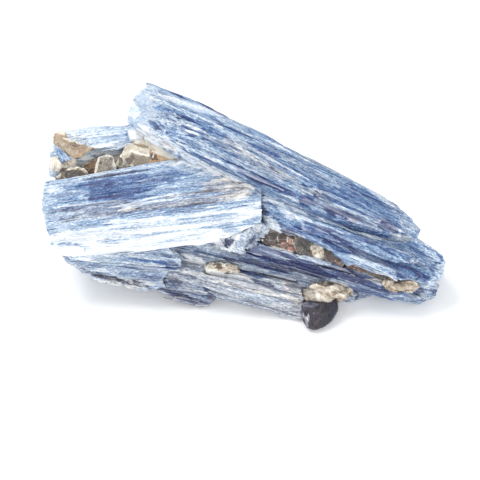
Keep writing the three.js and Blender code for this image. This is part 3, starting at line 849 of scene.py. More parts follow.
upperBlade = {
    "grain": -26,
    "seed": 11,
    "slot": "blue_kyanite",
    "tone": 0.43,
    "warm": 0.14,
    "splinter": 0.1,
    "reach": 0.7,
    "laths": {"perSquareMm": 0.25, "length": 5, "width": 0.36, "thick": 0.22},
    "strokes": [
        # the pale left end and the white band below the top edge
        stroke((-0.02, 0.8), (0.06, 0.15), 4.8, tone=-0.08, warm=0.18, calm=0.7),
        stroke((-0.15, 1.05), (0.5, 1.05), 2.2, rise=0.4, calm=0.6, edge=0.0),
        stroke((0.5, 1.0), (1.1, 0.85), 2.4, rise=-0.2, edge=0.0),
        stroke((0.06, 0.84), (0.27, 0.95), 0.8, tone=-0.28, frost=0.25),
        stroke((0.26, 0.91), (0.39, 0.9), 0.6, tone=-0.2, frost=0.1),
        # the narrow dark lines of the top edge
        stroke((0.07, 0.97), (0.15, 0.95), 0.35, tone=0.5),
        stroke((0.2, 1.0), (0.29, 0.99), 0.4, tone=0.5),
        # deep blue patches at the left
        stroke((0.06, 0.59), (0.13, 0.68), 0.6, tone=0.16, warm=-0.3),
        stroke((0.12, 0.71), (0.2, 0.67), 0.5, tone=0.22, warm=-0.6),
        stroke((0.31, 0.66), (0.16, 0.66), 1.15, tone=0.3, warm=-0.6, cut=True),
        stroke((0.17, 0.79), (0.28, 0.84), 0.5, tone=-0.2, frost=0.1),
        stroke((0.18, 0.61), (0.23, 0.61), 0.4, tone=-0.3, frost=0.2),
        stroke((0.26, 0.46), (0.38, 0.57), 0.9, tone=0.26, warm=-0.1),
        stroke((0.2, 0.29), (0.34, 0.35), 0.5, tone=-0.16),
        stroke((0.17, 0.49), (0.26, 0.54), 0.45, tone=0.46, warm=-0.6),
        stroke((0.19, 0.45), (0.25, 0.49), 0.22, tone=-0.3, frost=0.8),
        stroke((0.2, 0.42), (0.23, 0.44), 0.4, tone=0.36),
        stroke((0.065, 0.34), (0.11, 0.28), 0.5, tone=0.38),
        stroke((0.11, 0.27), (0.27, 0.31), 0.4, tone=0.22),
        stroke((0.04, 0.2), (0.2, 0.1), 0.8, tone=-0.2, warm=0.2, frost=0.2),
        stroke((0.03, 0.09), (0.16, -0.02), 1.3, tone=-0.3, warm=0.2, frost=0.5, calm=-1),
        stroke((0.01, 0.88), (0.05, 0.9), 1.0, tone=-0.1, calm=0.5),
        stroke((0.09, -0.0), (0.15, -0.02), 0.8, tone=-0.3, warm=0.3, frost=0.5),
        stroke((0.2, 0.73), (0.26, 0.76), 0.5, tone=0.3),
        stroke((0.26, 0.81), (0.29, 0.79), 0.5, tone=-0.3),
        stroke((0.18, 0.53), (0.23, 0.57), 0.4, tone=-0.3, frost=0.3),
        stroke((0.31, 0.67), (0.35, 0.6), 0.6, tone=0.3),
        stroke((0.42, 0.69), (0.46, 0.67), 0.5, tone=0.35),
        stroke((0.48, 0.55), (0.52, 0.53), 0.5, tone=0.3),
        stroke((0.61, 0.24), (0.63, 0.18), 0.5, tone=0.4),
        stroke((0.65, 0.44), (0.67, 0.28), 0.5, tone=0.4),
        stroke((0.68, 0.38), (0.76, 0.4), 0.35, tone=-0.3, frost=0.2),
        stroke((0.7, 0.27), (0.74, 0.26), 0.5, tone=0.4, frost=-0.6),
        stroke((0.88, 0.51), (0.93, 0.51), 0.5, tone=0.4, frost=-0.6),
        stroke((-0.0, 0.49), (0.02, 0.26), 1.2, tone=-0.2),
        stroke((0.07, 0.69), (0.13, 0.76), 0.6, tone=-0.15),
        stroke((0.1, 0.47), (0.17, 0.59), 0.6, tone=0.14),
        # the blue band along the upper side
        stroke((0.29, 0.85), (0.4, 0.87), 0.25, tone=0.36, warm=-0.6),
        stroke((0.21, 1.04), (0.3, 1.02), 0.35, tone=-0.3, frost=0.2),
        stroke((0.2, 0.53), (0.25, 0.56), 0.35, tone=-0.3, frost=0.3),
        stroke((0.38, 0.76), (0.5, 0.78), 0.6, tone=0.3, warm=-0.6),
        stroke((0.39, 0.93), (0.55, 0.94), 0.55, tone=-0.28),
        stroke((0.43, 0.71), (0.58, 0.7), 0.7, tone=0.14, warm=-0.2),
        stroke((0.39, 0.63), (0.51, 0.56), 0.7, tone=0.2, warm=-0.2),
        stroke((0.4, 0.86), (0.62, 0.8), 1.4, tone=0.1, warm=0.05),
        stroke((0.46, 0.97), (0.62, 0.94), 0.6, tone=-0.12),
        stroke((0.64, 0.93), (0.87, 0.86), 0.45, tone=0.18, warm=-0.6),
        stroke((0.7, 0.99), (0.92, 0.89), 0.6, tone=-0.12),
        stroke((0.57, 0.78), (0.72, 0.69), 0.5, tone=0.14),
        # the grey, fibrous hollow below it and its pale rim
        stroke((0.26, 0.56), (0.58, 0.5), 1.9, tone=-0.08, warm=0.34, rise=-0.22),
        stroke((0.41, 0.67), (0.61, 0.63), 0.32, tone=-0.34, warm=0.3, frost=0.3, rise=0.2),
        stroke((0.34, 0.6), (0.56, 0.55), 0.5, tone=-0.16, warm=0.3),
        # the navy band along the lower edge, with its pale strip below: whitish rubble, painted paler
        # still against the shade on this downward facet
        stroke((0.33, 0.27), (0.52, 0.32), 0.28, tone=0.6, rise=-0.2, edge=0.2),
        stroke((0.34, 0.24), (0.41, 0.25), 0.45, tone=0.3),
        stroke((0.37, 0.02), (0.48, 0.07), 0.5, tone=-0.3, frost=0.3),
        stroke((0.13, 0.09), (0.19, 0.07), 0.5, tone=0.45, warm=0.8),
        stroke((0.36, 0.35), (0.47, 0.37), 0.25, tone=-0.2),
        stroke((0.48, 0.23), (0.56, 0.27), 0.5, tone=0.25),
        stroke((0.24, 0.17), (0.42, 0.15), 0.5, tone=0.3),
        stroke((0.4, 0.22), (0.6, 0.27), 0.85, tone=0.4, warm=-0.4),
        stroke((0.1, 0.1), (0.5, 0.02), 0.8, tone=-0.3, frost=0.2, chips=1.5),
        *[stroke((s, 0.06), (s + 0.05, 0.02), 0.7, tone=-0.1, rise=0.4, edge=1.2) for s in rubble],
        stroke((0.5, 0.06), (0.66, 0.1), 0.7, tone=-0.15),
        # the scuffed place where a lath broke off, with two deep spots
        stroke((0.58, 0.42), (0.7, 0.5), 1.1, tone=0.04, warm=0.3, chips=2),
        stroke((0.62, 0.28), (0.68, 0.34), 0.8, chips=1),
        stroke((0.6, 0.52), (0.615, 0.5), 0.5, tone=0.5, warm=-0.6),
        stroke((0.61, 0.26), (0.66, 0.27), 1.1, tone=0.42, warm=-0.8),
        stroke((0.55, 0.2), (0.61, 0.22), 0.4, tone=-0.15),
        # the right half, with a pale ledge and the shade under it
        stroke((0.66, 0.58), (0.92, 0.66), 2.8, tone=0.18, warm=-0.2),
        stroke((0.67, 0.41), (0.95, 0.53), 0.26, tone=-0.24, frost=0.2, rise=0.2, edge=0.3),
        stroke((0.67, 0.31), (0.82, 0.36), 0.6, tone=0.4),
        stroke((0.69, 0.28), (0.79, 0.34), 0.7, tone=0.3, warm=-0.5),
        stroke((0.69, 0.42), (0.76, 0.45), 0.4, tone=-0.15),
        stroke((0.78, 0.33), (0.97, 0.5), 0.9, tone=0.22, warm=-0.2),
        stroke((0.86, 0.53), (0.96, 0.55), 0.9, tone=0.3, warm=-0.4),
        stroke((0.67, 0.11), (0.78, 0.13), 0.6, tone=0.35, warm=-0.2),
        stroke((0.72, 0.18), (0.92, 0.34), 0.7, tone=0.3),
        stroke((0.9, 0.66), (1.0, 0.6), 1.6, tone=-0.08),
        stroke((0.93, 0.4), (1.0, 0.5), 0.9, tone=-0.15, warm=0.4),
    ],
}
growBlade("upper_blade", upperBlade)

frontBlade = {
    "grain": 8,
    "seed": 23,
    "slot": "pale_kyanite",
    "tone": 0.36,
    "warm": 0.14,
    "mottle": 0.5,
    "step": 0.6,
    "splinter": 0.25,
    "reach": -0.1,
    "laths": {"perSquareMm": 0.12, "length": 6, "width": 0.32, "thick": 0.16},
    "strokes": [
        # the grey-blue left end and the deep patch that a straight crack cuts off
        stroke((0.05, 0.8), (0.18, 0.75), 1.9, tone=0.12),
        stroke((0.16, 0.83), (0.33, 0.81), 1.5, tone=0.15, warm=-0.2),
        stroke((0.44, 0.78), (0.65, 0.74), 0.8, tone=0.18),
        stroke((0.38, 0.57), (0.5, 0.56), 0.6, tone=0.22),
        stroke((0.02, 0.83), (0.11, 0.82), 0.9, tone=-0.2),
        stroke((0.35, 0.49), (0.42, 0.48), 0.5, tone=-0.25),
        stroke((0.88, 0.44), (0.94, 0.44), 0.8, tone=-0.3, frost=0.2),
        stroke((0.02, 0.72), (0.2, 0.64), 0.9, tone=0.08),
        stroke((0.22, 0.84), (0.49, 0.85), 1.3, tone=0.28, warm=-0.35, cut=True),
        stroke((0.25, 0.93), (0.5, 0.92), 0.35, tone=0.26, warm=0.3),
        stroke((0.22, 0.71), (0.52, 0.71), 1.5, tone=0.34, warm=-0.6, cut=True),
        stroke((0.21, 0.65), (0.57, 0.59), 0.5, tone=0.3, warm=-0.3, cut=True),
        stroke((0.25, 0.71), (0.5, 0.69), 0.8, tone=0.16, warm=-0.6),
        stroke((0.21, 0.92), (0.35, 0.92), 0.5, tone=0.35, warm=0.2),
        stroke((0.45, 0.77), (0.61, 0.78), 0.5, tone=0.28, warm=-0.4),
        stroke((0.65, 0.53), (0.85, 0.53), 0.5, tone=0.25, warm=0.2),
        stroke((0.6, 0.95), (0.81, 0.75), 1.4, tone=-0.2, frost=0.1),
        stroke((0.02, 0.83), (0.1, 0.82), 0.5, tone=-0.15),
        stroke((0.6, 1.0), (0.67, 0.95), 0.8, tone=-0.3, frost=0.3),
        stroke((0.8, 0.12), (0.89, 0.05), 1.0, tone=0.3, frost=-0.4),
        stroke((0.43, 0.82), (0.67, 0.83), 0.5, tone=0.18),
        stroke((0.11, 0.88), (0.22, 0.85), 1.0, tone=0.12),
        stroke((0.5, 0.84), (0.78, 0.82), 1.5, tone=0.06, warm=-0.1),
        stroke((0.37, 0.55), (0.62, 0.6), 0.3, tone=-0.3, frost=0.2),
        stroke((0.14, 0.72), (0.17, 0.86), 0.25, tone=-0.14, edge=0.2),
        stroke((0.6, 0.88), (0.85, 0.8), 1.3, tone=0.07),
        stroke((0.0, 0.97), (0.62, 1.02), 0.3, tone=-0.14, warm=0.9, edge=0.2),
        # the beige corner with its whitish rim along the upper blade
        stroke((0.75, 0.63), (0.99, 0.55), 2.6, tone=-0.16, warm=0.5, edge=1.3),
        stroke((0.6, 0.65), (0.83, 0.63), 1.2, tone=0.16, warm=0.1),
        stroke((0.8, 0.68), (0.98, 0.56), 1.6, tone=-0.14, warm=0.35, edge=1.3),
        stroke((0.7, 0.57), (0.98, 0.54), 0.5, tone=0.24, warm=0.2),
        stroke((0.8, 0.66), (0.94, 0.62), 0.3, tone=0.3, warm=0.1),
        stroke((0.82, 0.5), (0.93, 0.56), 0.6, tone=0.2, warm=0.2),
        stroke((0.91, 0.37), (1.0, 0.35), 0.6, tone=-0.3, frost=0.2),
        stroke((0.61, 1.07), (0.79, 0.79), 1.2, tone=-0.35, warm=0.1, frost=0.5, rise=0.6, chips=2),
        stroke((0.78, 0.8), (0.89, 0.68), 0.8, tone=-0.26, warm=0.3, frost=0.3, rise=0.4, chips=2),
        stroke((0.88, 0.72), (1.0, 0.5), 0.9, tone=-0.3, warm=0.35, frost=0.3, rise=0.4, chips=1),
        # the grey streaked strip above the ridge
        stroke((0.04, 0.59), (0.45, 0.55), 1.2, tone=0.26, warm=0.34),
        stroke((0.02, 0.5), (0.3, 0.5), 0.7, tone=0.1, warm=0.1),
        stroke((0.34, 0.49), (0.45, 0.51), 0.4, tone=-0.2),
        stroke((0.45, 0.43), (0.57, 0.46), 0.4, tone=0.2, warm=0.2),
        stroke((0.1, 0.62), (0.4, 0.6), 0.22, tone=-0.15, frost=0.25),
        stroke((0.3, 0.54), (0.6, 0.53), 0.35, tone=-0.22, frost=0.4),
        stroke((0.06, 0.47), (0.45, 0.47), 0.9, tone=0.22, warm=0.35),
        stroke((0.36, 0.48), (0.95, 0.46), 0.8, tone=0.02, warm=0.45),
        stroke((0.56, 0.44), (0.8, 0.43), 0.35, tone=0.3, warm=0.4),
        stroke((0.5, 0.58), (0.78, 0.56), 0.5, tone=0.02, warm=0.4),
        # the lower facet, painted near white for its sheen, a painted reflection, with faint blue streaks;
        # its bulging lower-left corner is painted lighter against the shade beneath it
        stroke((-0.1, 0.28), (1.1, 0.24), 1.8, tone=-0.32, warm=-0.1, frost=0.6),
        stroke((0.27, 0.37), (0.56, 0.34), 0.5, tone=-0.25, frost=0.3),
        stroke((0.62, 0.32), (0.99, 0.32), 0.5, tone=-0.25, frost=0.3),
        stroke((0.55, 0.39), (0.83, 0.36), 0.4, tone=0.14),
        stroke((0.61, 0.24), (0.89, 0.21), 0.35, tone=0.15, frost=-0.3),
        stroke((0.3, 0.3), (0.99, 0.24), 0.75, tone=0.12, warm=0.1, frost=-0.4),
        stroke((-0.1, 0.08), (1.1, 0.05), 2.2, tone=-0.32, warm=-0.1, frost=0.6),
        stroke((0.27, -0.02), (0.79, -0.04), 1.2, rise=0.6, edge=0.2),
        stroke((0.62, -0.05), (0.81, -0.06), 1.2, tone=-0.2, frost=0.3, rise=0.9, edge=0.2),
        stroke((-0.01, 0.18), (0.16, 0.11), 1.3, tone=-0.35, frost=0.5, rise=0.6, edge=0.2),
        stroke((0.55, 0.3), (0.95, 0.26), 0.3, tone=0.12, frost=-0.2),
        stroke((0.1, 0.3), (0.4, 0.28), 0.3, tone=0.1, frost=-0.2),
        stroke((0.5, 0.06), (0.75, 0.12), 0.3, tone=0.14, frost=-0.2),
        # painted shadow of the crevice at its right-hand end
        stroke((1.0, 0.37), (0.99, 0.13), 0.5, tone=0.6, warm=0.4, edge=0.2),
    ],
}
growBlade("front_blade", frontBlade)

rightBlade = {
    "grain": -24,
    "seed": 37,
    "slot": "blue_kyanite",
    "tone": 0.52,
    "warm": 0.08,
    "splinter": 0.5,
    "laths": {"perSquareMm": 0.22, "length": 6, "width": 0.4, "thick": 0.24},
    "strokes": [
        # the pale, rubbly left end and the dark notch under it
        stroke((-0.04, 0.62), (0.26, 0.48), 2.0, tone=-0.34, warm=0.2, frost=0.15),
        stroke((-0.02, 0.5), (0.12, 0.6), 1.0, warm=0.2, rise=0.6, chips=2, edge=1.0),
        stroke((0.04, 0.17), (0.14, 0.06), 1.4, tone=-0.35, warm=0.2, frost=0.3, rise=0.3),
        stroke((0.15, 0.09), (0.24, 0.08), 0.7, tone=0.5, warm=0.5, edge=0.3),
        stroke((0.18, -0.02), (0.46, 0.0), 2.0, rise=-0.9, edge=0.2),
        # light and dark streaks along its length
        stroke((0.14, 0.1), (0.28, 0.14), 0.25, tone=-0.3, frost=0.2),
        stroke((0.2, 0.26), (0.5, 0.34), 0.9, tone=0.26, warm=-0.1),
        stroke((0.19, 0.5), (0.32, 0.55), 0.5, tone=0.15),
        stroke((0.25, 0.53), (0.43, 0.61), 0.45, tone=-0.35),
        stroke((0.28, 0.43), (0.41, 0.48), 0.4, tone=0.2),
        stroke((0.3, 0.42), (0.44, 0.47), 0.5, tone=0.34, warm=-0.2),
        stroke((0.48, 0.66), (0.63, 0.7), 0.6, tone=-0.4),
        stroke((0.6, 0.73), (0.75, 0.81), 0.5, tone=-0.25),
        # painted shadow of the crevice between its left end and the front blade
        stroke((0.01, 0.39), (0.06, 0.1), 0.5, tone=0.5, warm=0.4),
        stroke((-0.0, 0.44), (0.08, 0.45), 0.5, tone=0.3),
        stroke((0.11, 0.54), (0.2, 0.46), 0.5, tone=0.25),
        stroke((0.45, 0.38), (0.56, 0.22), 1.1, tone=0.4, warm=-0.2),
        stroke((0.67, 0.54), (0.84, 0.65), 0.8, tone=0.15),
        stroke((0.83, 0.83), (0.95, 0.82), 0.9, tone=-0.16),
        stroke((0.75, 0.22), (0.82, 0.19), 0.6, tone=0.3),
        stroke((0.66, 0.08), (0.78, 0.07), 0.8, tone=-0.35, frost=0.2),
        stroke((0.52, -0.03), (0.8, 0.04), 1.0, rise=-0.7, edge=0.2),
        stroke((0.27, 0.46), (0.46, 0.5), 0.4, tone=-0.16, frost=0.15),
        stroke((0.45, 0.5), (0.72, 0.62), 0.5, tone=0.2),
        stroke((0.5, 0.28), (0.78, 0.35), 0.6, tone=0.2, warm=-0.1),
        stroke((0.36, 0.2), (0.5, 0.16), 0.6, tone=0.35, frost=-0.3),
        # the pale wedge on its lower edge
        stroke((0.42, 0.06), (0.54, 0.1), 1.2, calm=1.0),
        stroke((0.46, 0.1), (0.8, 0.14), 0.8, tone=-0.14, frost=0.05),
        stroke((0.62, 0.22), (0.78, 0.24), 0.4, tone=-0.14),
        # the far end: a bright upper side, dark streaks and a clear light-blue tip
        stroke((0.7, 0.98), (0.9, 0.95), 0.6, tone=-0.1),
        stroke((0.64, 0.8), (0.9, 0.78), 0.6, tone=0.24),
        stroke((0.76, 0.42), (0.95, 0.4), 0.6, tone=0.3, warm=-0.1),
        stroke((0.8, 0.55), (0.94, 0.6), 0.6, tone=-0.06, warm=0.35),
        stroke((0.96, 0.1), (0.99, 0.85), 1.6, tone=-0.26, frost=0.1, rise=0.2),
    ],
}
growBlade("right_blade", rightBlade)

lowerRightBlade = {
    "grain": -19,
    "seed": 41,
    "slot": "dark_kyanite",
    "tone": 0.8,
    "warm": 0.24,
    "splinter": 0.5,
    "laths": {"perSquareMm": 0.22, "length": 6, "width": 0.35, "thick": 0.22},
    "strokes": [
        # pale ledges over a deep furrow in its left half, the furrow darkened with painted shade
        stroke((0.06, 0.34), (0.45, 0.42), 0.45, tone=-0.4, warm=0.1, rise=0.15, edge=0.6),
        stroke((0.08, 0.24), (0.3, 0.24), 0.3, tone=-0.34, warm=0.2),
        stroke((0.03, 0.06), (0.6, 0.24), 0.5, tone=0.46, warm=-0.1, frost=-1, rise=-0.5, calm=0.6),
        stroke((0.23, 0.2), (0.44, 0.24), 0.6, tone=0.5, frost=-1, rise=-0.4, calm=0.6),
        # the lower side, the streaks of the right half and the pale far end
        stroke((0.08, -0.08), (0.46, 0.15), 0.9, tone=0.42, warm=0.1),
        stroke((0.52, -0.3), (0.66, 0.01), 1.5, rise=1.2),
        stroke((0.25, 0.19), (0.43, 0.25), 0.5, tone=0.5, warm=-0.2),
        stroke((0.5, 0.49), (0.59, 0.48), 0.7, tone=0.4),
        stroke((0.5, 0.41), (0.63, 0.32), 1.1, tone=0.3),
        stroke((0.28, 0.4), (0.75, 0.48), 0.6, rise=0.3, edge=0.2),
        stroke((0.65, 0.4), (0.78, 0.46), 0.5, tone=-0.5, warm=0.7),
        stroke((0.87, 0.65), (1.01, 0.74), 0.9, tone=-0.4),
        stroke((0.89, 0.75), (0.96, 0.64), 0.9, tone=-0.2),
        stroke((0.3, -0.06), (0.62, 0.06), 1.0, tone=-0.35, warm=0.5),
        stroke((0.3, 0.28), (0.7, 0.38), 0.5, tone=0.16),
        stroke((0.45, 0.12), (0.8, 0.2), 0.5, tone=-0.22),
        stroke((0.6, 0.3), (0.95, 0.42), 0.4, tone=-0.16),
        stroke((0.78, 0.2), (0.98, 0.3), 1.0, tone=-0.34),
        stroke((0.93, 0.45), (1.0, 0.5), 1.4, tone=-0.36, frost=0.1),
    ],
}
growBlade("lower_right_blade", lowerRightBlade)

lowerLeftBlade = {
    "grain": -4,
    "seed": 53,
    "slot": "blue_kyanite",
    "tone": 0.42,
    "warm": 0.34,
    "splinter": 1.2,
    "laths": {"perSquareMm": 0.3, "length": 5, "width": 0.4, "thick": 0.26},
    "strokes": [
        # light and dark streaks on its laths, and raised flakes on their lower sides
        stroke((0.05, 0.75), (0.5, 0.9), 1.0, tone=-0.1),
        stroke((0.15, 0.5), (0.5, 0.58), 0.7, tone=-0.04, frost=0.1),
        stroke((0.54, 0.6), (0.99, 0.51), 0.55, tone=0.34, warm=-0.4),
        stroke((0.12, 0.5), (0.36, 0.47), 0.5, tone=-0.2),
        stroke((0.5, 0.42), (0.98, 0.44), 0.5, tone=0.34),
        stroke((0.66, 0.42), (0.98, 0.4), 0.35, tone=-0.16, frost=0.2),
        stroke((0.29, 0.27), (0.54, 0.15), 0.8, tone=0.3, warm=0.3),
        stroke((0.38, 0.42), (0.6, 0.36), 0.4, tone=0.15),
        stroke((0.62, 0.16), (0.71, 0.08), 0.5, tone=0.3, warm=0.2),
        stroke((0.89, 0.61), (1.0, 0.46), 0.6, tone=0.3),
        stroke((0.28, 0.18), (0.52, 0.09), 1.0, rise=0.5),
        stroke((0.56, 0.08), (0.74, 0.03), 1.0, rise=0.5),
        stroke((0.01, 0.48), (0.23, 0.26), 1.0, rise=0.35),
        stroke((0.28, 0.3), (0.6, 0.36), 0.7, tone=-0.16, frost=0.1),
        stroke((0.36, 0.12), (0.8, 0.1), 1.2, tone=-0.08, warm=0.4),
        stroke((-0.05, 0.5), (0.15, 0.25), 1.4, rise=0.35, edge=0.2),
        stroke((0.7, 0.24), (0.98, 0.26), 0.4, tone=0.26, warm=0.2),
        stroke((0.15, 0.3), (0.75, 0.06), 0.35, tone=0.24, warm=0.3),
    ],
}
growBlade("lower_left_blade", lowerLeftBlade)

greyBlade = {
    "grain": -13,
    "seed": 61,
    "slot": "grey_kyanite",
    "tone": 0.44,
    "warm": 0.66,
    "mottle": 0.5,
    "grooveShade": 0.2,
    "splinter": 0.8,
    "laths": {"perSquareMm": 0.2, "length": 6, "width": 0.35, "thick": 0.2},
    "strokes": [
        # grey and brownish streaks, and blue ones along the upper side
        stroke((0.0, 0.62), (0.4, 0.6), 0.7, tone=0.14),
        stroke((0.25, 0.54), (0.39, 0.57), 0.6, tone=-0.2),
        stroke((0.3, 0.44), (0.85, 0.46), 0.5, tone=-0.12, warm=0.2),
        stroke((0.46, 0.85), (0.71, 0.78), 1.2, tone=0.42, warm=-0.4),
        stroke((0.42, 0.5), (0.7, 0.52), 1.2, tone=0.2),
        stroke((0.6, 0.67), (0.76, 0.64), 0.7, tone=0.35, rise=-0.2),
        stroke((0.59, 0.19), (0.71, 0.08), 1.2, tone=0.1),
        stroke((0.36, 0.93), (0.5, 0.88), 0.4, tone=0.4, warm=0.3),
        stroke((0.28, 0.22), (0.39, -0.05), 0.7, tone=0.6, warm=-0.2),
        stroke((0.22, 0.84), (0.54, 0.72), 1.5, tone=-0.1, warm=0.7, frost=0.1, edge=1.5),
        stroke((0.84, 0.51), (1.0, 0.38), 1.1, tone=-0.1, warm=0.5, edge=1.5),
        stroke((0.85, 0.71), (1.01, 0.64), 0.6, tone=0.3, warm=-0.2),
        stroke((0.02, 0.23), (0.12, 0.22), 0.5, tone=0.4),
        stroke((0.82, 0.82), (1.08, 0.77), 0.6, tone=0.24, warm=-0.1),
        stroke((0.1, 0.47), (0.34, 0.56), 0.5, tone=-0.2),
        stroke((0.5, 0.3), (0.98, 0.2), 1.0, tone=-0.1, warm=-0.1),
        stroke((0.86, 0.0), (1.05, 0.05), 1.2, rise=0.4, edge=0.2),
        stroke((0.8, 0.84), (1.0, 0.6), 1.0, tone=-0.1, warm=0.5, rise=0.1, chips=3, edge=1.3),
        stroke((0.6, 0.14), (0.98, 0.06), 0.4, tone=0.26, warm=0.1),
        stroke((0.12, 0.44), (0.35, 0.3), 0.6, tone=0.12, warm=0.1),
    ],
}
growBlade("grey_blade", greyBlade)

keelBlade = {
    "grain": -12,
    "seed": 67,
    "slot": "dark_kyanite",
    "tone": 0.72,
    "warm": 0.4,
    "splinter": 0.8,
    "reach": 1.1,
    "laths": {"perSquareMm": 0.25, "length": 4, "width": 0.4, "thick": 0.25},
    "strokes": [
        stroke((0.3, 0.5), (0.9, 0.6), 0.8, tone=-0.18),
        stroke((0.1, 0.2), (0.8, 0.1), 0.9, tone=0.24, warm=0.1),
        stroke((0.86, 0.45), (1.02, 0.11), 0.8, tone=0.4, warm=0.3),
        stroke((0.37, 0.05), (0.92, -0.0), 1.2, tone=0.3, warm=0.2, rise=0.6),
    ],
}
growBlade("keel_blade", keelBlade)

brokenEnd = {
    "grain": -40,
    "seed": 71,
    "slot": "pale_kyanite",
    "cell": 0.11,
    "tone": 0.36,
    "warm": 0.35,
    "frost": 0.15,
    "mottle": 0.9,
    "step": 2.0,
    "splinter": 1.0,
    "laths": {"perSquareMm": 1.6, "length": 1.6, "width": 0.28, "thick": 0.35, "toneChange": 0.35},
    "strokes": [
        # whitish splinters, with the dark gaps between them painted as shade
        stroke((0.16, 0.64), (0.5, 0.3), 0.9, tone=-0.2, warm=0.4, frost=0.1),
        stroke((0.09, 0.52), (0.45, 0.58), 0.7, tone=0.25, frost=-0.3),
        stroke((0.18, 0.04), (0.5, 0.31), 0.8, tone=0.6, warm=0.3, frost=-0.6),
        stroke((0.22, 0.34), (0.83, 1.3), 0.8, tone=-0.3, frost=0.5, rise=0.3),
        stroke((0.42, 0.77), (0.54, 0.07), 0.4, tone=-0.3, frost=0.7),
        stroke((-0.0, 0.27), (0.19, -0.05), 1.5, tone=-0.3, frost=0.4, rise=1.3, edge=0.3),
        stroke((0.86, 0.34), (0.91, 0.84), 0.7, tone=0.5, warm=0.1),
        stroke((0.6, 0.9), (0.9, 0.8), 0.8, tone=-0.2, warm=0.3, frost=0.2),
    ],
}
growBlade("broken_end", brokenEnd)

shadedBlade = {
    "grain": -14,
    "seed": 83,
    "slot": "dark_kyanite",
    "cell": 0.17,
    "tone": 0.51,
    "warm": 0.44,
    "laths": {"perSquareMm": 0.3, "length": 6, "width": 0.4, "thick": 0.3},
    "strokes": [
        # two lighter places, painted lighter against the shadow the front blade casts, and the dark streaks
        # beside them
        stroke((0.36, 0.24), (0.52, 0.28), 0.8, tone=-0.24),
        stroke((0.89, 0.07), (0.94, 0.17), 1.2, rise=1.0),
        stroke((0.37, 0.12), (0.45, 0.09), 1.0, tone=-0.4, rise=0.4),
        stroke((0.55, 0.22), (0.75, 0.25), 0.9, tone=0.55),
        stroke((0.5, 0.19), (0.56, 0.17), 0.5, tone=0.3, warm=0.3),
        stroke((0.54, 0.3), (0.9, 0.28), 0.6, tone=0.42, warm=-0.1),
    ],
}
growBlade("shaded_blade", shadedBlade)

rearLeftBlade = {
    "grain": 10,
    "seed": 97,
    "slot": "pale_kyanite",
    "tone": 0.24,
    "warm": 0.08,
    "frost": 0.1,
    "mottle": 0.45,
    "splinter": 0.6,
    "reach": 0.8,
    "laths": {"perSquareMm": 0.25, "length": 5, "width": 0.4, "thick": 0.22},
    "strokes": [
        # splinters and whitish rubble above the mica, painted lighter still to lift the shade of the hollow
        # there
        stroke((0.2, 0.56), (0.6, 0.5), 1.2, tone=0.05, warm=0.1, chips=5),
        stroke((0.55, 0.83), (0.69, 0.6), 1.6, tone=-0.45, warm=0.2, frost=0.8, rise=1.0, chips=3),
        stroke((0.35, 0.62), (0.48, 0.58), 0.6, tone=-0.3, frost=0.5, rise=0.3, chips=4),
        stroke((0.18, 0.6), (0.29, 0.58), 0.6, tone=-0.4, warm=0.6, frost=0.4, rise=0.4),
        stroke((0.39, 0.62), (0.48, 0.6), 0.5, tone=0.3, warm=-0.6),
        stroke((0.22, 0.55), (0.31, 0.57), 0.35, tone=-0.3, frost=0.9, edge=1.2),
        stroke((0.28, 0.63), (0.4, 0.62), 0.25, tone=-0.3, frost=0.8, edge=1.2),
        stroke((0.45, 0.62), (0.56, 0.55), 0.3, tone=-0.3, frost=0.8, edge=1.2),
        stroke((0.26, 0.72), (0.44, 0.7), 0.4, tone=-0.2, frost=0.3),
        stroke((0.3, 0.8), (0.55, 0.82), 0.6, tone=0.12),
        stroke((0.08, 0.9), (0.26, 0.92), 1.2, tone=-0.1, warm=0.1),
    ],
}
growBlade("rear_left_blade", rearLeftBlade)

rearTopBlade = {
    "grain": -20,
    "seed": 101,
    "slot": "blue_kyanite",
    "cell": 0.19,
    "tone": 0.46,
    "warm": 0.14,
    "laths": {"perSquareMm": 0.25, "length": 7, "width": 0.5, "thick": 0.3},
    "strokes": [
        stroke((0.2, 0.7), (0.5, 0.6), 1.6, tone=0.2),
        stroke((0.55, 0.4), (0.9, 0.3), 1.4, tone=-0.16, warm=0.2),
    ],
}
growBlade("rear_top_blade", rearTopBlade)

rearCrossBlade = {
    "grain": -16,
    "seed": 103,
    "slot": "pale_kyanite",
    "cell": 0.19,
    "tone": 0.32,
    "warm": 0.1,
    "splinter": 0.8,
    "laths": {"perSquareMm": 0.25, "length": 6, "width": 0.45, "thick": 0.26},
    "strokes": [
        stroke((0.2, 0.6), (0.6, 0.5), 1.0, tone=0.26),
        stroke((0.6, 0.3), (0.9, 0.4), 1.0, tone=-0.12, frost=0.15),
    ],
}
growBlade("rear_cross_blade", rearCrossBlade)

rearFootBlade = {
    "grain": -3,
    "seed": 107,
    "slot": "grey_kyanite",
    "cell": 0.19,
    "tone": 0.42,
    "warm": 0.34,
    "splinter": 1.0,
    "laths": {"perSquareMm": 0.22, "length": 8, "width": 0.5, "thick": 0.3},
    "strokes": [
        stroke((0.1, 0.7), (0.45, 0.75), 1.6, tone=0.24, warm=-0.6),
        stroke((0.3, 0.45), (0.8, 0.4), 1.4, tone=-0.14, warm=0.1),
        stroke((0.6, 0.7), (0.95, 0.6), 1.2, tone=0.16, warm=-0.1),
        stroke((0.05, 0.3), (0.5, 0.2), 1.4, tone=0.12, warm=0.2),
    ],
}
growBlade("rear_foot_blade", rearFootBlade)

blueChip = {
    "grain": -48,
    "seed": 109,
    "slot": "blue_kyanite",
    "cell": 0.1,
    "stretch": 2.0,
    "tone": 0.5,
    "step": 0.6,
    "wave": 0.1,
    "splinter": 0.2,
    "laths": {"perSquareMm": 0.3, "length": 2, "width": 0.25, "thick": 0.15},
}
growBlade("blue_chip", blueChip)


# Mica books.

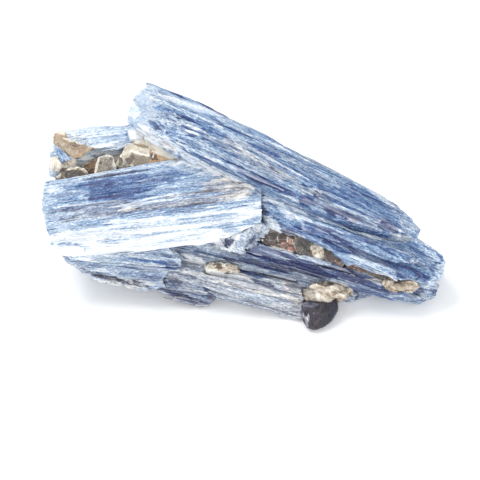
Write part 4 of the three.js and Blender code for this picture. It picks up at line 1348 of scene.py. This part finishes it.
plainBook = {
    "cell": 0.1,  # size of the fine faces in mm
    "stretch": (1.1, 1.1, 0.7),
    "slope": (0, 0),  # how far the face rises out to the right and up the face
    "out": 0,  # how far the book is moved out of the broad face, in mm
    "frost": 0.0,
    "sheet": 0.24,  # thickness of one sheet in mm
    "ragged": 0.4,  # how far the sheets' rims step in and out, in mm
    "mottle": 1.0,
    "edgeFrostAndGlare": 0.8,
    "edges": (0.02, 0.08),
    "grooveShade": 0.25,
    "grooves": (0.02, 0.08),
    "flakes": {},
    "strokes": [],
}
bookWaves = {
    "sheets": (0.12, (2.5, 2.5, 2.5), 0),
    "rim": (0.7, (1.3, 1.3, 1), 2),
    "scars": (0.5, (1.6, 1.6, 1.6), 3),
    "dents": (0.12, (1.8, 1.8, 1.8), 6),
    "feather": (1, (0.8, 0.8, 0.8), 8),
}
# Flake scars on the face: their size in mm, the broad ones and the small ones.
scarSizes = [(99, 2.2, 1.5), (99, 0.7, 0.55)]


def plateMesh(node, look, low, high):
    # a plain plate on the look's outline, which is in shares of the node's box
    middle = (low + high) / 2
    slope = np.array(look["slope"])
    half = look["thick"] / 2
    corners = [low[:2] + np.array(corner) * (high - low)[:2] for corner in look["outline"]]
    work = bmesh.new()
    rims = []
    for side in (-half, half):
        heights = [middle[2] + look["out"] + side + slope @ (c - middle[:2]) for c in corners]
        rims.append([work.verts.new((*c, height)) for c, height in zip(corners, heights)])
    for i in range(len(corners)):
        j = (i + 1) % len(corners)
        work.faces.new((rims[0][i], rims[0][j], rims[1][j], rims[1][i]))
    for rim in rims:
        work.faces.new(rim)
    bmesh.ops.recalc_face_normals(work, faces=work.faces)
    mesh = bpy.data.meshes.new(node)
    work.to_mesh(mesh)
    work.free()
    return mesh


def growMica(node, own, kind):
    # a book of thin sheets in the place of the plain plate
    look = {**plainBook, **own}
    axes = grainAxes(0)
    solid = meshPoints(nodeMesh(node, axes))
    low, high = solid.min(axis=0), solid.max(axis=0)
    slope = np.array(look["slope"])
    shell, points = fineShell(node, plateMesh(node, look, low, high), look["cell"], look["stretch"])
    seed = look["seed"]
    normals = meshNormals(shell)
    layers = plainLayers(look, len(points))
    level = points[:, 2] - (points[:, :2] - ((low + high) / 2)[:2]) @ slope
    wavy = level + wave(points, bookWaves["sheets"], seed)
    sheet = np.floor(wavy / look["sheet"])
    inSheet = wavy / look["sheet"] - sheet
    spots = np.stack([points[:, 0], points[:, 1], sheet * 9.0], axis=1)
    rim = 1 - smoothStep(np.abs(normals @ [-slope[0], -slope[1], 1]), 0.6, 0.95)
    face = 1 - rim

    # the rim steps in and out sheet by sheet, with a fine groove between two sheets
    out = scramble(seed + 1, sheet) - 0.5 + wave(spots, bookWaves["rim"], seed)
    out = look["ragged"] * out - 0.06 * (1 - smoothStep(np.minimum(inSheet, 1 - inSheet), 0, 0.3))
    # and flakes have come off the broad face
    swirl = points + wave(points, bookWaves["scars"], seed)[:, None]
    number, side = lathPattern(swirl[:, [2, 0, 1]], scarSizes[0], seed + 4)
    small = lathPattern(swirl[:, [2, 1, 0]], scarSizes[1], seed + 5)[0]
    depth = 0.22 * number + 0.04 * small + wave(points, bookWaves["dents"], seed)
    mottle = look["mottle"]
    layers["tone"] += mottle * (0.3 * (freshNumber(number, 7.3) - 0.5) + 0.1 * (small - 0.5))
    layers["tone"] += rim * 0.3 * (scramble(seed + 7, sheet) - 0.6)
    layers["warm"] += 0.3 * (freshNumber(number, 13.7) - 0.5)
    layers["frost"] += mottle * face * 0.3 * (1 - smoothStep(side, 0, 0.14)) * (number > 0.4)
    paint(look, points, wave(points, bookWaves["feather"], seed), low, high, layers)
    points += normals * (rim * out + face * (0.1 - depth) + layers["rise"])[:, None]
    setPoints(shell, points)
    whitenRidgesShadeGrooves(shell, points, look, layers)
    writeLayers(shell, points, axes, layers)
    writeValue(shell, "ruffle", face)
    upward = Vector((-slope[0], -slope[1], 1)).normalized() @ axes
    finish = mineralFinish("mica_" + node, axes, kind)
    placePiece(node, "_book", shell, look, {**looseFlakes, **look["flakes"]}, upward, finish)


goldenMica = {
    "seed": 211,
    "slot": "brown_mica",
    "outline": [
        (-0.08, 0.56),
        (-0.04, 0.86),
        (0.2, 1.0),
        (0.3, 0.7),
        (0.74, 0.45),
        (1.02, 0.35),
        (0.82, 0.2),
        (0.64, 0.05),
        (0.42, 0.02),
        (0.24, 0.26),
    ],
    "slope": (-0.1, 0.2),
    "thick": 2.0,
    "tone": 0.5,
    "warm": 0.16,
    "ragged": 0.2,
    "edgeFrostAndGlare": 0.15,
    "mottle": 0.8,
    "flakes": {"perSquareMm": 0.4, "toneChange": 0.12},
    "strokes": [
        stroke((0.0, 0.9), (0.28, 0.95), 0.8, tone=-0.34, warm=0.1, frost=0.2),
        stroke((0.2, 0.7), (0.75, 0.47), 0.25, tone=-0.3, frost=0.7),
        stroke((0.35, 0.4), (0.6, 0.3), 0.7, tone=0.12),
    ],
}
growMica("golden_mica", goldenMica, brownMica)

darkMica = {
    "seed": 223,
    "slot": "brown_mica",
    "outline": [
        (-0.04, -0.1),
        (0.12, 0.24),
        (0.38, 0.46),
        (0.66, 0.54),
        (0.92, 0.34),
        (1.0, 0.1),
        (0.9, -0.1),
        (0.4, -0.16),
    ],
    "slope": (0.05, -0.3),
    "thick": 2.2,
    "tone": 0.86,
    "warm": 0.0,
    "sheet": 0.3,
    "edgeFrostAndGlare": 0.4,
    "strokes": [
        stroke((0.2, 0.4), (0.7, 0.52), 0.3, tone=-0.55, frost=0.4),
        stroke((0.7, 0.5), (0.97, 0.25), 0.3, tone=-0.4, frost=0.3),
        stroke((0.0, 0.0), (0.12, 0.2), 0.4, tone=-0.4, frost=0.4),
    ],
    "flakes": {"perSquareMm": 2.2, "length": 0.7, "width": 0.5, "toneChange": 0.35},
}
growMica("dark_mica", darkMica, brownMica)

micaPlate1 = {
    "seed": 227,
    "slot": "brown_mica",
    "outline": [
        (-0.04, 0.34),
        (0.3, 0.52),
        (0.62, 0.66),
        (0.76, 0.5),
        (0.55, 0.04),
        (0.2, -0.06),
        (0.0, 0.02),
    ],
    "slope": (0.35, 0.1),
    "thick": 1.8,
    "tone": 0.8,
    "warm": 0.2,
    "edgeFrostAndGlare": 0.3,
    "flakes": {"perSquareMm": 2.0, "length": 0.6, "width": 0.45, "toneChange": 0.3},
}
growMica("mica_plate_1", micaPlate1, brownMica)

micaPlate2 = {
    "seed": 229,
    "slot": "silver_mica",
    "outline": [(-0.22, -0.08), (-0.06, 0.56), (0.2, 0.66), (0.62, 0.62), (0.75, 0.08), (0.4, -0.06)],
    "slope": (-0.4, 0.15),
    "thick": 1.4,
    "tone": 0.62,
    "warm": 0.2,
    "mottle": 1.6,
    "strokes": [
        stroke((-0.2, -0.05), (-0.04, 0.6), 0.22, tone=-0.5, frost=0.8),
        stroke((0.66, 0.6), (0.74, 0.05), 0.22, tone=-0.4, frost=0.6),
        stroke((0.0, 0.6), (0.6, 0.64), 0.25, tone=-0.3, frost=0.4),
    ],
    "flakes": {"perSquareMm": 1.6, "length": 0.8, "width": 0.5, "toneChange": 0.25},
}
growMica("mica_plate_2", micaPlate2, silverMica)

micaPlate3 = {
    "seed": 233,
    "slot": "silver_mica",
    "outline": [
        (-0.1, -0.2),
        (-0.1, 0.5),
        (0.18, 0.6),
        (0.52, 0.54),
        (0.68, 0.2),
        (0.6, -0.06),
        (0.2, -0.14),
    ],
    "slope": (0.25, 0.1),
    "thick": 1.6,
    "tone": 0.64,
    "warm": 0.2,
    "mottle": 1.6,
    "strokes": [
        stroke((0.0, 0.1), (0.1, 0.42), 0.3, tone=-0.45, frost=0.4),
        stroke((0.26, 0.2), (0.44, 0.32), 0.5, tone=-0.4, frost=0.3),
        stroke((0.46, 0.5), (0.64, 0.1), 0.3, tone=-0.35, frost=0.3),
        stroke((0.3, 0.0), (0.5, 0.06), 0.4, tone=0.2),
    ],
    "flakes": {"perSquareMm": 2.0, "length": 0.7, "width": 0.35, "toneChange": 0.3},
}
growMica("mica_plate_3", micaPlate3, silverMica)

greyMica = {
    "seed": 239,
    "slot": "silver_mica",
    "outline": [
        (-0.3, 0.3),
        (-0.16, 0.64),
        (0.34, 0.84),
        (0.8, 0.84),
        (0.86, 0.3),
        (0.7, -0.02),
        (0.3, -0.1),
        (-0.1, -0.06),
    ],
    "slope": (-0.1, -0.15),
    "thick": 2.4,
    "tone": 0.32,
    "warm": 0.36,
    "mottle": 0.6,
    "flakes": {"perSquareMm": 0.5, "toneChange": 0.1},
    "strokes": [
        stroke((0.14, 0.78), (0.68, 0.64), 0.45, tone=0.45, warm=0.3, edge=0.3),
        stroke((-0.3, 0.1), (0.85, 0.12), 1.5, tone=0.42, warm=-0.1),
        stroke((-0.04, 0.5), (0.88, 0.26), 0.2, tone=-0.6, frost=0.9, edge=0.2),
    ],
}
growMica("grey_mica", greyMica, silverMica)

amberMica = {
    "seed": 241,
    "slot": "brown_mica",
    "outline": [
        (-0.22, -0.14),
        (-0.2, 0.66),
        (0.02, 1.1),
        (0.4, 0.9),
        (1.04, 0.1),
        (0.6, -0.12),
        (0.1, -0.3),
    ],
    "slope": (0.0, -0.2),
    "thick": 1.8,
    "tone": 0.4,
    "warm": 0.7,
    "strokes": [
        stroke((-0.1, 0.62), (0.98, 0.1), 0.4, tone=-0.5, warm=-0.5, frost=0.6),
        stroke((-0.1, 0.95), (0.7, 0.55), 1.0, tone=-0.5, warm=-0.5, frost=0.6),
        stroke((-0.2, 0.45), (0.1, 0.1), 0.7, tone=0.4, warm=-0.5),
        stroke((0.0, -0.08), (0.45, -0.04), 0.4, tone=-0.12, warm=0.3),
        stroke((0.45, 0.86), (0.8, 0.5), 0.2, tone=0.6, warm=-0.5),
    ],
}
growMica("amber_mica", amberMica, brownMica)

redMica1 = {
    "seed": 251,
    "slot": "red_mica",
    "outline": [
        (-0.14, 0.68),
        (0.1, 1.25),
        (0.6, 1.2),
        (1.0, 0.86),
        (1.14, 0.6),
        (1.24, -0.04),
        (0.9, -0.06),
        (0.4, 0.2),
        (0.06, 0.42),
    ],
    "thick": 1.8,
    "tone": 0.98,
    "warm": 0.3,
    "ragged": 0.2,
    "edgeFrostAndGlare": 0.2,
    "flakes": {"perSquareMm": 0.3, "toneChange": 0.15},
    "strokes": [
        stroke((0.0, 1.2), (0.8, 1.12), 0.7, tone=-0.3, warm=-0.2, frost=0.1),
        stroke((0.6, 0.74), (0.86, 0.56), 1.2, tone=-0.1, warm=0.7, edge=0.3),
        stroke((0.94, 0.7), (1.1, 0.36), 0.8, tone=-0.5, warm=0.4, edge=0.3),
        stroke((0.62, 0.34), (0.9, 0.3), 0.7, tone=-0.5, warm=0.2, edge=0.3),
        stroke((0.9, 0.16), (1.12, 0.02), 0.7, tone=-0.3, warm=0.9, edge=0.3),
        stroke((0.52, 0.82), (0.58, 0.3), 0.14, tone=-0.5, frost=0.7, edge=0.2),
        stroke((0.88, 0.8), (0.9, 0.5), 0.14, tone=-0.5, frost=0.6, edge=0.2),
        stroke((1.1, 0.62), (1.22, 0.0), 0.18, tone=-0.7, frost=0.9, edge=0.2),
        stroke((0.2, 0.3), (1.1, -0.06), 0.2, tone=-0.5, frost=0.5, edge=0.2),
        stroke((-0.05, 0.6), (-0.02, 0.6), 0.4, tone=-0.9, frost=1.0, edge=0.2),
    ],
}
growMica("red_mica_1", redMica1, redMica)

redMica2 = {
    "seed": 257,
    "slot": "red_mica",
    "outline": [
        (0.42, 1.2),
        (0.8, 1.3),
        (1.12, 0.9),
        (1.36, 0.0),
        (1.02, -0.06),
        (0.62, -0.04),
        (0.52, 0.4),
    ],
    "out": 0.3,
    "thick": 1.8,
    "tone": 0.78,
    "warm": 0.0,
    "edgeFrostAndGlare": 0.3,
    "flakes": {"perSquareMm": 0.3, "toneChange": 0.1},
    "strokes": [stroke((0.7, 0.8), (1.1, 0.2), 0.35, tone=0.2)],
}
growMica("red_mica_2", redMica2, redMica)

redMica3 = {
    "seed": 263,
    "slot": "red_mica",
    "outline": [
        (-0.12, 1.2),
        (0.3, 1.3),
        (0.62, 0.98),
        (0.8, 0.56),
        (0.66, 0.16),
        (0.2, 0.3),
        (-0.04, 0.56),
    ],
    "out": 0.3,
    "thick": 1.6,
    "tone": 0.95,
    "warm": 0.8,
    "edgeFrostAndGlare": 0.3,
    "flakes": {"perSquareMm": 0.3, "toneChange": 0.15},
    "strokes": [stroke((0.3, 0.5), (0.6, 0.3), 0.5, tone=-0.3, frost=0.1)],
}
growMica("red_mica_3", redMica3, redMica)

redMica4 = {
    "seed": 269,
    "slot": "red_mica",
    "outline": [
        (-0.1, 1.4),
        (0.2, 1.2),
        (0.56, 0.98),
        (1.25, 0.26),
        (1.1, -0.1),
        (0.56, 0.4),
        (-0.1, 0.85),
    ],
    "out": 0.9,
    "thick": 1.4,
    "tone": 0.84,
    "warm": 0.5,
    "ragged": 0.15,
    "edgeFrostAndGlare": 0.3,
    "flakes": {"perSquareMm": 0.3, "toneChange": 0.15},
    "strokes": [stroke((0.5, 0.5), (1.1, 0.12), 0.4, tone=-0.1, warm=-0.4)],
}
growMica("red_mica_4", redMica4, redMica)

rearMica = {
    "seed": 271,
    "slot": "silver_mica",
    "outline": [
        (0.05, 0.74),
        (0.28, 1.0),
        (0.75, 0.97),
        (0.96, 0.67),
        (0.87, 0.21),
        (0.4, 0.02),
        (0.07, 0.27),
    ],
    "slope": (-0.2, 0.3),
    "thick": 3.0,
    "tone": 0.4,
    "warm": 0.2,
}
growMica("rear_mica", rearMica, silverMica)

# Feldspar grains and crusts, and the dark crystal.

plainGrain = {
    "grain": 0,
    "cell": 0.13,  # size of the fine faces in mm
    "frost": 0.0,
    "rounding": 3,  # how many times the plain solid's corners are evened out
    "swell": 0.12,
    "wave": 0.3,
    "streaky": 0,  # how strong the streaks along the grain are
    "blocks": [(1.1, 0.26), (0.45, 0.12)],  # blocky breaks, by their size and their height in mm
    "squash": (1, 1, 1),  # below 1, the blocks are longer on that axis
    "mottle": 0.3,
    "stain": 0.6,
    "edgeFrostAndGlare": 0.4,
    "edges": (0.02, 0.1),
    "grooveShade": 0.25,
    "grooves": (0.02, 0.1),
    "crumbs": {},
    "strokes": [],
}
grainWaves = {
    "swell": (1, (2.2, 2.2, 2.2), 0),
    "stains": (1, (1.3, 0.8, 1.0), 5),
    "feather": (1, (0.9, 0.9, 0.9), 6),
    "streaks": (1, (3.0, 0.5, 0.6), 7),
}
blockAxis = (0.3, 0.8, 0.5)  # the blocks are turned about it by this many radians and by their size
blockTurn = 0.7


def growGrain(node, own, kind):
    # a lump of grains with blocky, broken faces in the place of the plain one
    look = {**plainGrain, **own}
    axes = grainAxes(look["grain"])
    shell, points = fineShell(node, nodeMesh(node, axes), look["cell"], (1, 1, 1))
    seed = look["seed"]
    points = evenOut(shell, points, look["rounding"])
    setPoints(shell, points)
    low, high = points.min(axis=0), points.max(axis=0)
    layers = plainLayers(look, len(points))
    streaks = look["streaky"] * wave(points, grainWaves["streaks"], seed)
    lift = look["swell"] + look["wave"] * wave(points, grainWaves["swell"], seed) + streaks
    layers["tone"] -= streaks
    for size, height in look["blocks"]:
        turned = points * look["squash"] @ np.array(Matrix.Rotation(blockTurn + size, 3, blockAxis))
        turned += 0.25 * size * softNoise(points, (size, size, size), seed + 1)[:, None]
        cells = np.floor(turned / size).T
        lift += height * (scramble(seed + 2, *cells) - 0.5)
        layers["tone"] += look["mottle"] * (scramble(seed + 3, *cells) - 0.5)
        layers["warm"] += 0.3 * (scramble(seed + 4, *cells) - 0.5)
    stains = look["stain"] * smoothStep(wave(points, grainWaves["stains"], seed), 0.15, 0.6)
    layers["warm"] += stains
    layers["tone"] += 0.6 * stains
    paint(look, points, wave(points, grainWaves["feather"], seed), low, high, layers)
    lift *= 1 - np.clip(layers["calm"], 0, 1)
    points += meshNormals(shell) * (lift + layers["rise"])[:, None]
    setPoints(shell, points)
    whitenRidgesShadeGrooves(shell, points, look, layers)
    world = writeLayers(shell, points, axes, layers)
    writeValue(shell, "ruffle", smoothStep(world[:, 2], 0.3 * mm, 0.8 * mm))
    finish = mineralFinish(look["slot"] + "_" + node, axes, kind)
    placePiece(node, "_grain", shell, look, {**looseCrumbs, **look["crumbs"]}, axes[2], finish)


leftFeldspar = {
    "seed": 307,
    "slot": "feldspar",
    "tone": 0.12,
    "warm": 0.7,
    "stain": 0.0,
    "mottle": 0.15,
    "strokes": [
        stroke((0.7, 0.8), (1.0, 0.5), 1.6, rise=1.2),
        stroke((0.0, 1.0), (0.0, 0.2), 1.0, rise=0.4),
    ],
}
growGrain("left_feldspar", leftFeldspar, feldspar)

pocketFeldspar = {
    "seed": 311,
    "slot": "feldspar",
    "tone": 0.26,
    "warm": 0.6,
    "stain": 0.15,
    "strokes": [stroke((0.0, 1.0), (0.7, 0.9), 1.2, rise=0.7)],
}
growGrain("pocket_feldspar", pocketFeldspar, feldspar)

# Crust that was smeared out along the blade it sits on.
smearedCrust = {
    "slot": "feldspar",
    "grain": -14,
    "squash": (0.4, 1, 1),
    "rounding": 4,
    "wave": 0.25,
    "swell": 0.15,
    "streaky": 0.35,
    "blocks": [(1.0, 0.2), (0.45, 0.16)],
    "edgeFrostAndGlare": 0.25,
    "crumbs": {"perSquareMm": 1.6, "length": 1.1, "width": 0.35, "thick": 0.3, "toneChange": 0.4},
}

feldsparSeam = {
    **smearedCrust,
    "seed": 313,
    "grain": -22,
    "tone": 0.55,
    "warm": 0.4,
    "stain": 0.4,
    "strokes": [stroke((-0.1, 0.5), (0.25, 0.5), 1.2, tone=-0.2, rise=0.7)],
}
growGrain("feldspar_seam", feldsparSeam, feldspar)

leftCrust = {
    **smearedCrust,
    "seed": 317,
    "tone": 0.42,
    "warm": 0.15,
    "stain": 0.5,
    "strokes": [
        stroke((0.0, 0.5), (1.0, 0.5), 4.0, tone=-0.12, warm=-0.1, calm=0.6, edge=0.0),
        stroke((0.27, 0.66), (0.5, 0.62), 0.7, tone=0.8, warm=0.8, frost=-1),
        stroke((0.64, 0.38), (0.92, 0.45), 0.6, tone=0.9, warm=0.8, frost=-1),
        stroke((0.5, 1.0), (1.0, 0.8), 0.9, tone=0.3, rise=-0.3),
    ],
}
growGrain("left_crust", leftCrust, feldspar)

rightCrust = {
    **smearedCrust,
    "seed": 331,
    "tone": 0.48,
    "warm": 0.25,
    "stain": 0.4,
    "strokes": [
        stroke((0.55, 0.5), (0.66, 0.5), 0.5, tone=0.4, warm=0.6),
        stroke((0.0, 0.3), (0.3, 0.2), 0.9, tone=-0.1, warm=-0.3, frost=0.3),
        stroke((-0.1, -0.1), (0.6, 0.0), 1.6, tone=-0.1, rise=1.1, calm=0.4, edge=0.3),
        stroke((-0.1, 0.45), (0.22, 0.1), 0.9, tone=0.25, warm=-0.8, frost=-0.2, rise=-0.1),
        stroke((0.15, 0.75), (0.55, 0.95), 0.7, tone=0.4, warm=-0.6, frost=-0.3, rise=-0.3),
        stroke((0.7, 0.1), (1.0, 0.5), 0.8, tone=0.4, warm=-0.6, frost=-0.3),
        stroke((0.1, 0.7), (0.5, 0.8), 0.3, tone=0.3, warm=0.2),
    ],
}
growGrain("right_crust", rightCrust, feldspar)

rearCrust = {
    "seed": 337,
    "slot": "feldspar",
    "tone": 0.3,
    "warm": 0.2,
    "stain": 0.5,
}
growGrain("rear_crust", rearCrust, feldspar)

darkCrystal = {
    "grain": -8,
    "seed": 347,
    "slot": "dark_crystal",
    "tone": 0.86,
    "warm": 0.55,
    "cell": 0.14,
    "rounding": 14,
    "wave": 0.14,
    "blocks": [(2.4, 0.06), (0.8, 0.05)],
    "mottle": 0.2,
    "stain": 0.0,
    "edgeFrostAndGlare": 0.3,
    "crumbs": {"perSquareMm": 0.3, "length": 0.5, "width": 0.4, "thick": 0.25},
    "strokes": [
        # the slanted upper side, with a blue ledge and a whitish scale at the left
        stroke((0.0, 1.0), (1.0, 1.0), 2.8, rise=-1.6, edge=0.2),
        stroke((0.04, 0.56), (0.4, 0.6), 0.7, tone=-0.06, warm=-0.8, rise=0.25, edge=0.3),
        stroke((0.0, 0.42), (0.2, 0.06), 0.35, tone=-0.4, warm=-0.4, frost=0.25, edge=2.2),
        stroke((0.16, 0.4), (0.22, 0.16), 0.25, tone=-0.35, frost=0.3, edge=1.8),
        stroke((0.95, 0.6), (0.7, 0.05), 0.9, tone=0.1, warm=-0.8),
        stroke((0.45, 0.1), (0.5, 0.6), 0.5, tone=-0.1, warm=0.2),
    ],
}
growGrain("dark_crystal", darkCrystal, darkStone)

for chips in (looseLaths, looseFlakes, looseCrumbs):
    bpy.data.objects.remove(chips["chip"])

# The stage: a pale floor, soft lights and the camera.

stage = {
    "floor": 3.0,
    "floorDrop": 0.02,  # how far the floor lies below the feet, in mm
    "floorTints": [(0.3, "#f3f3f2"), (0.7, "#f8f8f8")],
    "floorGlow": 0.15,
    "sky": (0.96, 0.98, 1.0, 1),
    "skyStrength": 0.8,
    # where each light is from the middle of the cluster, and how wide it is, in lengths of the cluster
    "lights": {
        "key": {"place": (-1.6, 0.6, 3.2), "size": 2.2, "power": 0.46, "colour": (1, 1, 1)},
        "fill": {"place": (0.4, -3.2, 1.4), "size": 2.5, "power": 0.26, "colour": (0.98, 0.99, 1.0)},
    },
    "aim": (-0.008, -0.213, -0.102),  # from the middle of the box, in shares of its size
    "tilt": 40,  # degrees the camera looks down
    "distance": 0.45,
    "view": 0.096,  # how much the camera takes in at the aim
    "sensor": 36,
}


def layFloor():
    work = bmesh.new()
    bmesh.ops.create_grid(work, x_segments=1, y_segments=1, size=stage["floor"] / 2)
    mesh = bpy.data.meshes.new("floor")
    work.to_mesh(mesh)
    work.free()
    floor = showObject("floor", mesh)
    floor.location.z = -stage["floorDrop"] * mm
    made, tree, shader = newMaterial("floor_paper")
    place = addNode(tree, "ShaderNodeTexCoord").outputs["Object"]
    tooth = grainNoise(tree, place, (1.5, 1.5, 1.5), detail=4.0)
    tree.links.new(ramp(tree, tooth, stage["floorTints"]), shader.inputs["Base Color"])
    shader.inputs["Roughness"].default_value = 0.9
    shader.inputs["Emission Color"].default_value = (1, 1, 1, 1)
    shader.inputs["Emission Strength"].default_value = stage["floorGlow"]
    mesh.materials.append(made)


def hangLights():
    world = bpy.data.worlds.new("studio")
    world.use_nodes = True
    sky = world.node_tree.nodes["Background"]
    sky.inputs["Color"].default_value = stage["sky"]
    sky.inputs["Strength"].default_value = stage["skyStrength"]
    bpy.context.scene.world = world
    for name, light in stage["lights"].items():
        lamp = bpy.data.lights.new(name, "AREA")
        lamp.shape = "DISK"
        lamp.size = light["size"] * boxSize.x
        lamp.energy = light["power"]
        lamp.color = light["colour"]
        made = showObject(name, lamp)
        offset = Vector(light["place"]) * boxSize.x
        made.location = boxMiddle + offset
        made.rotation_euler = (-offset).to_track_quat("-Z", "Y").to_euler()


def aimCamera():
    camera = bpy.data.cameras.new("camera")
    camera.sensor_width = stage["sensor"]
    camera.lens = camera.sensor_width * stage["distance"] / stage["view"]
    camera.clip_start = 0.01
    camera.clip_end = 20
    eye = showObject("camera", camera)
    tilt = math.radians(stage["tilt"])
    back = Vector((0, -math.cos(tilt), math.sin(tilt)))
    aim = boxMiddle + Vector([share * side for share, side in zip(stage["aim"], boxSize)])
    eye.location = aim + back * stage["distance"]
    eye.rotation_mode = "QUATERNION"
    eye.rotation_quaternion = (-back).to_track_quat("-Z", "Y")
    bpy.context.scene.camera = eye
    bpy.context.scene.view_settings.view_transform = "Standard"


layFloor()
hangLights()
aimCamera()
print("stage: floor, lights and camera set")
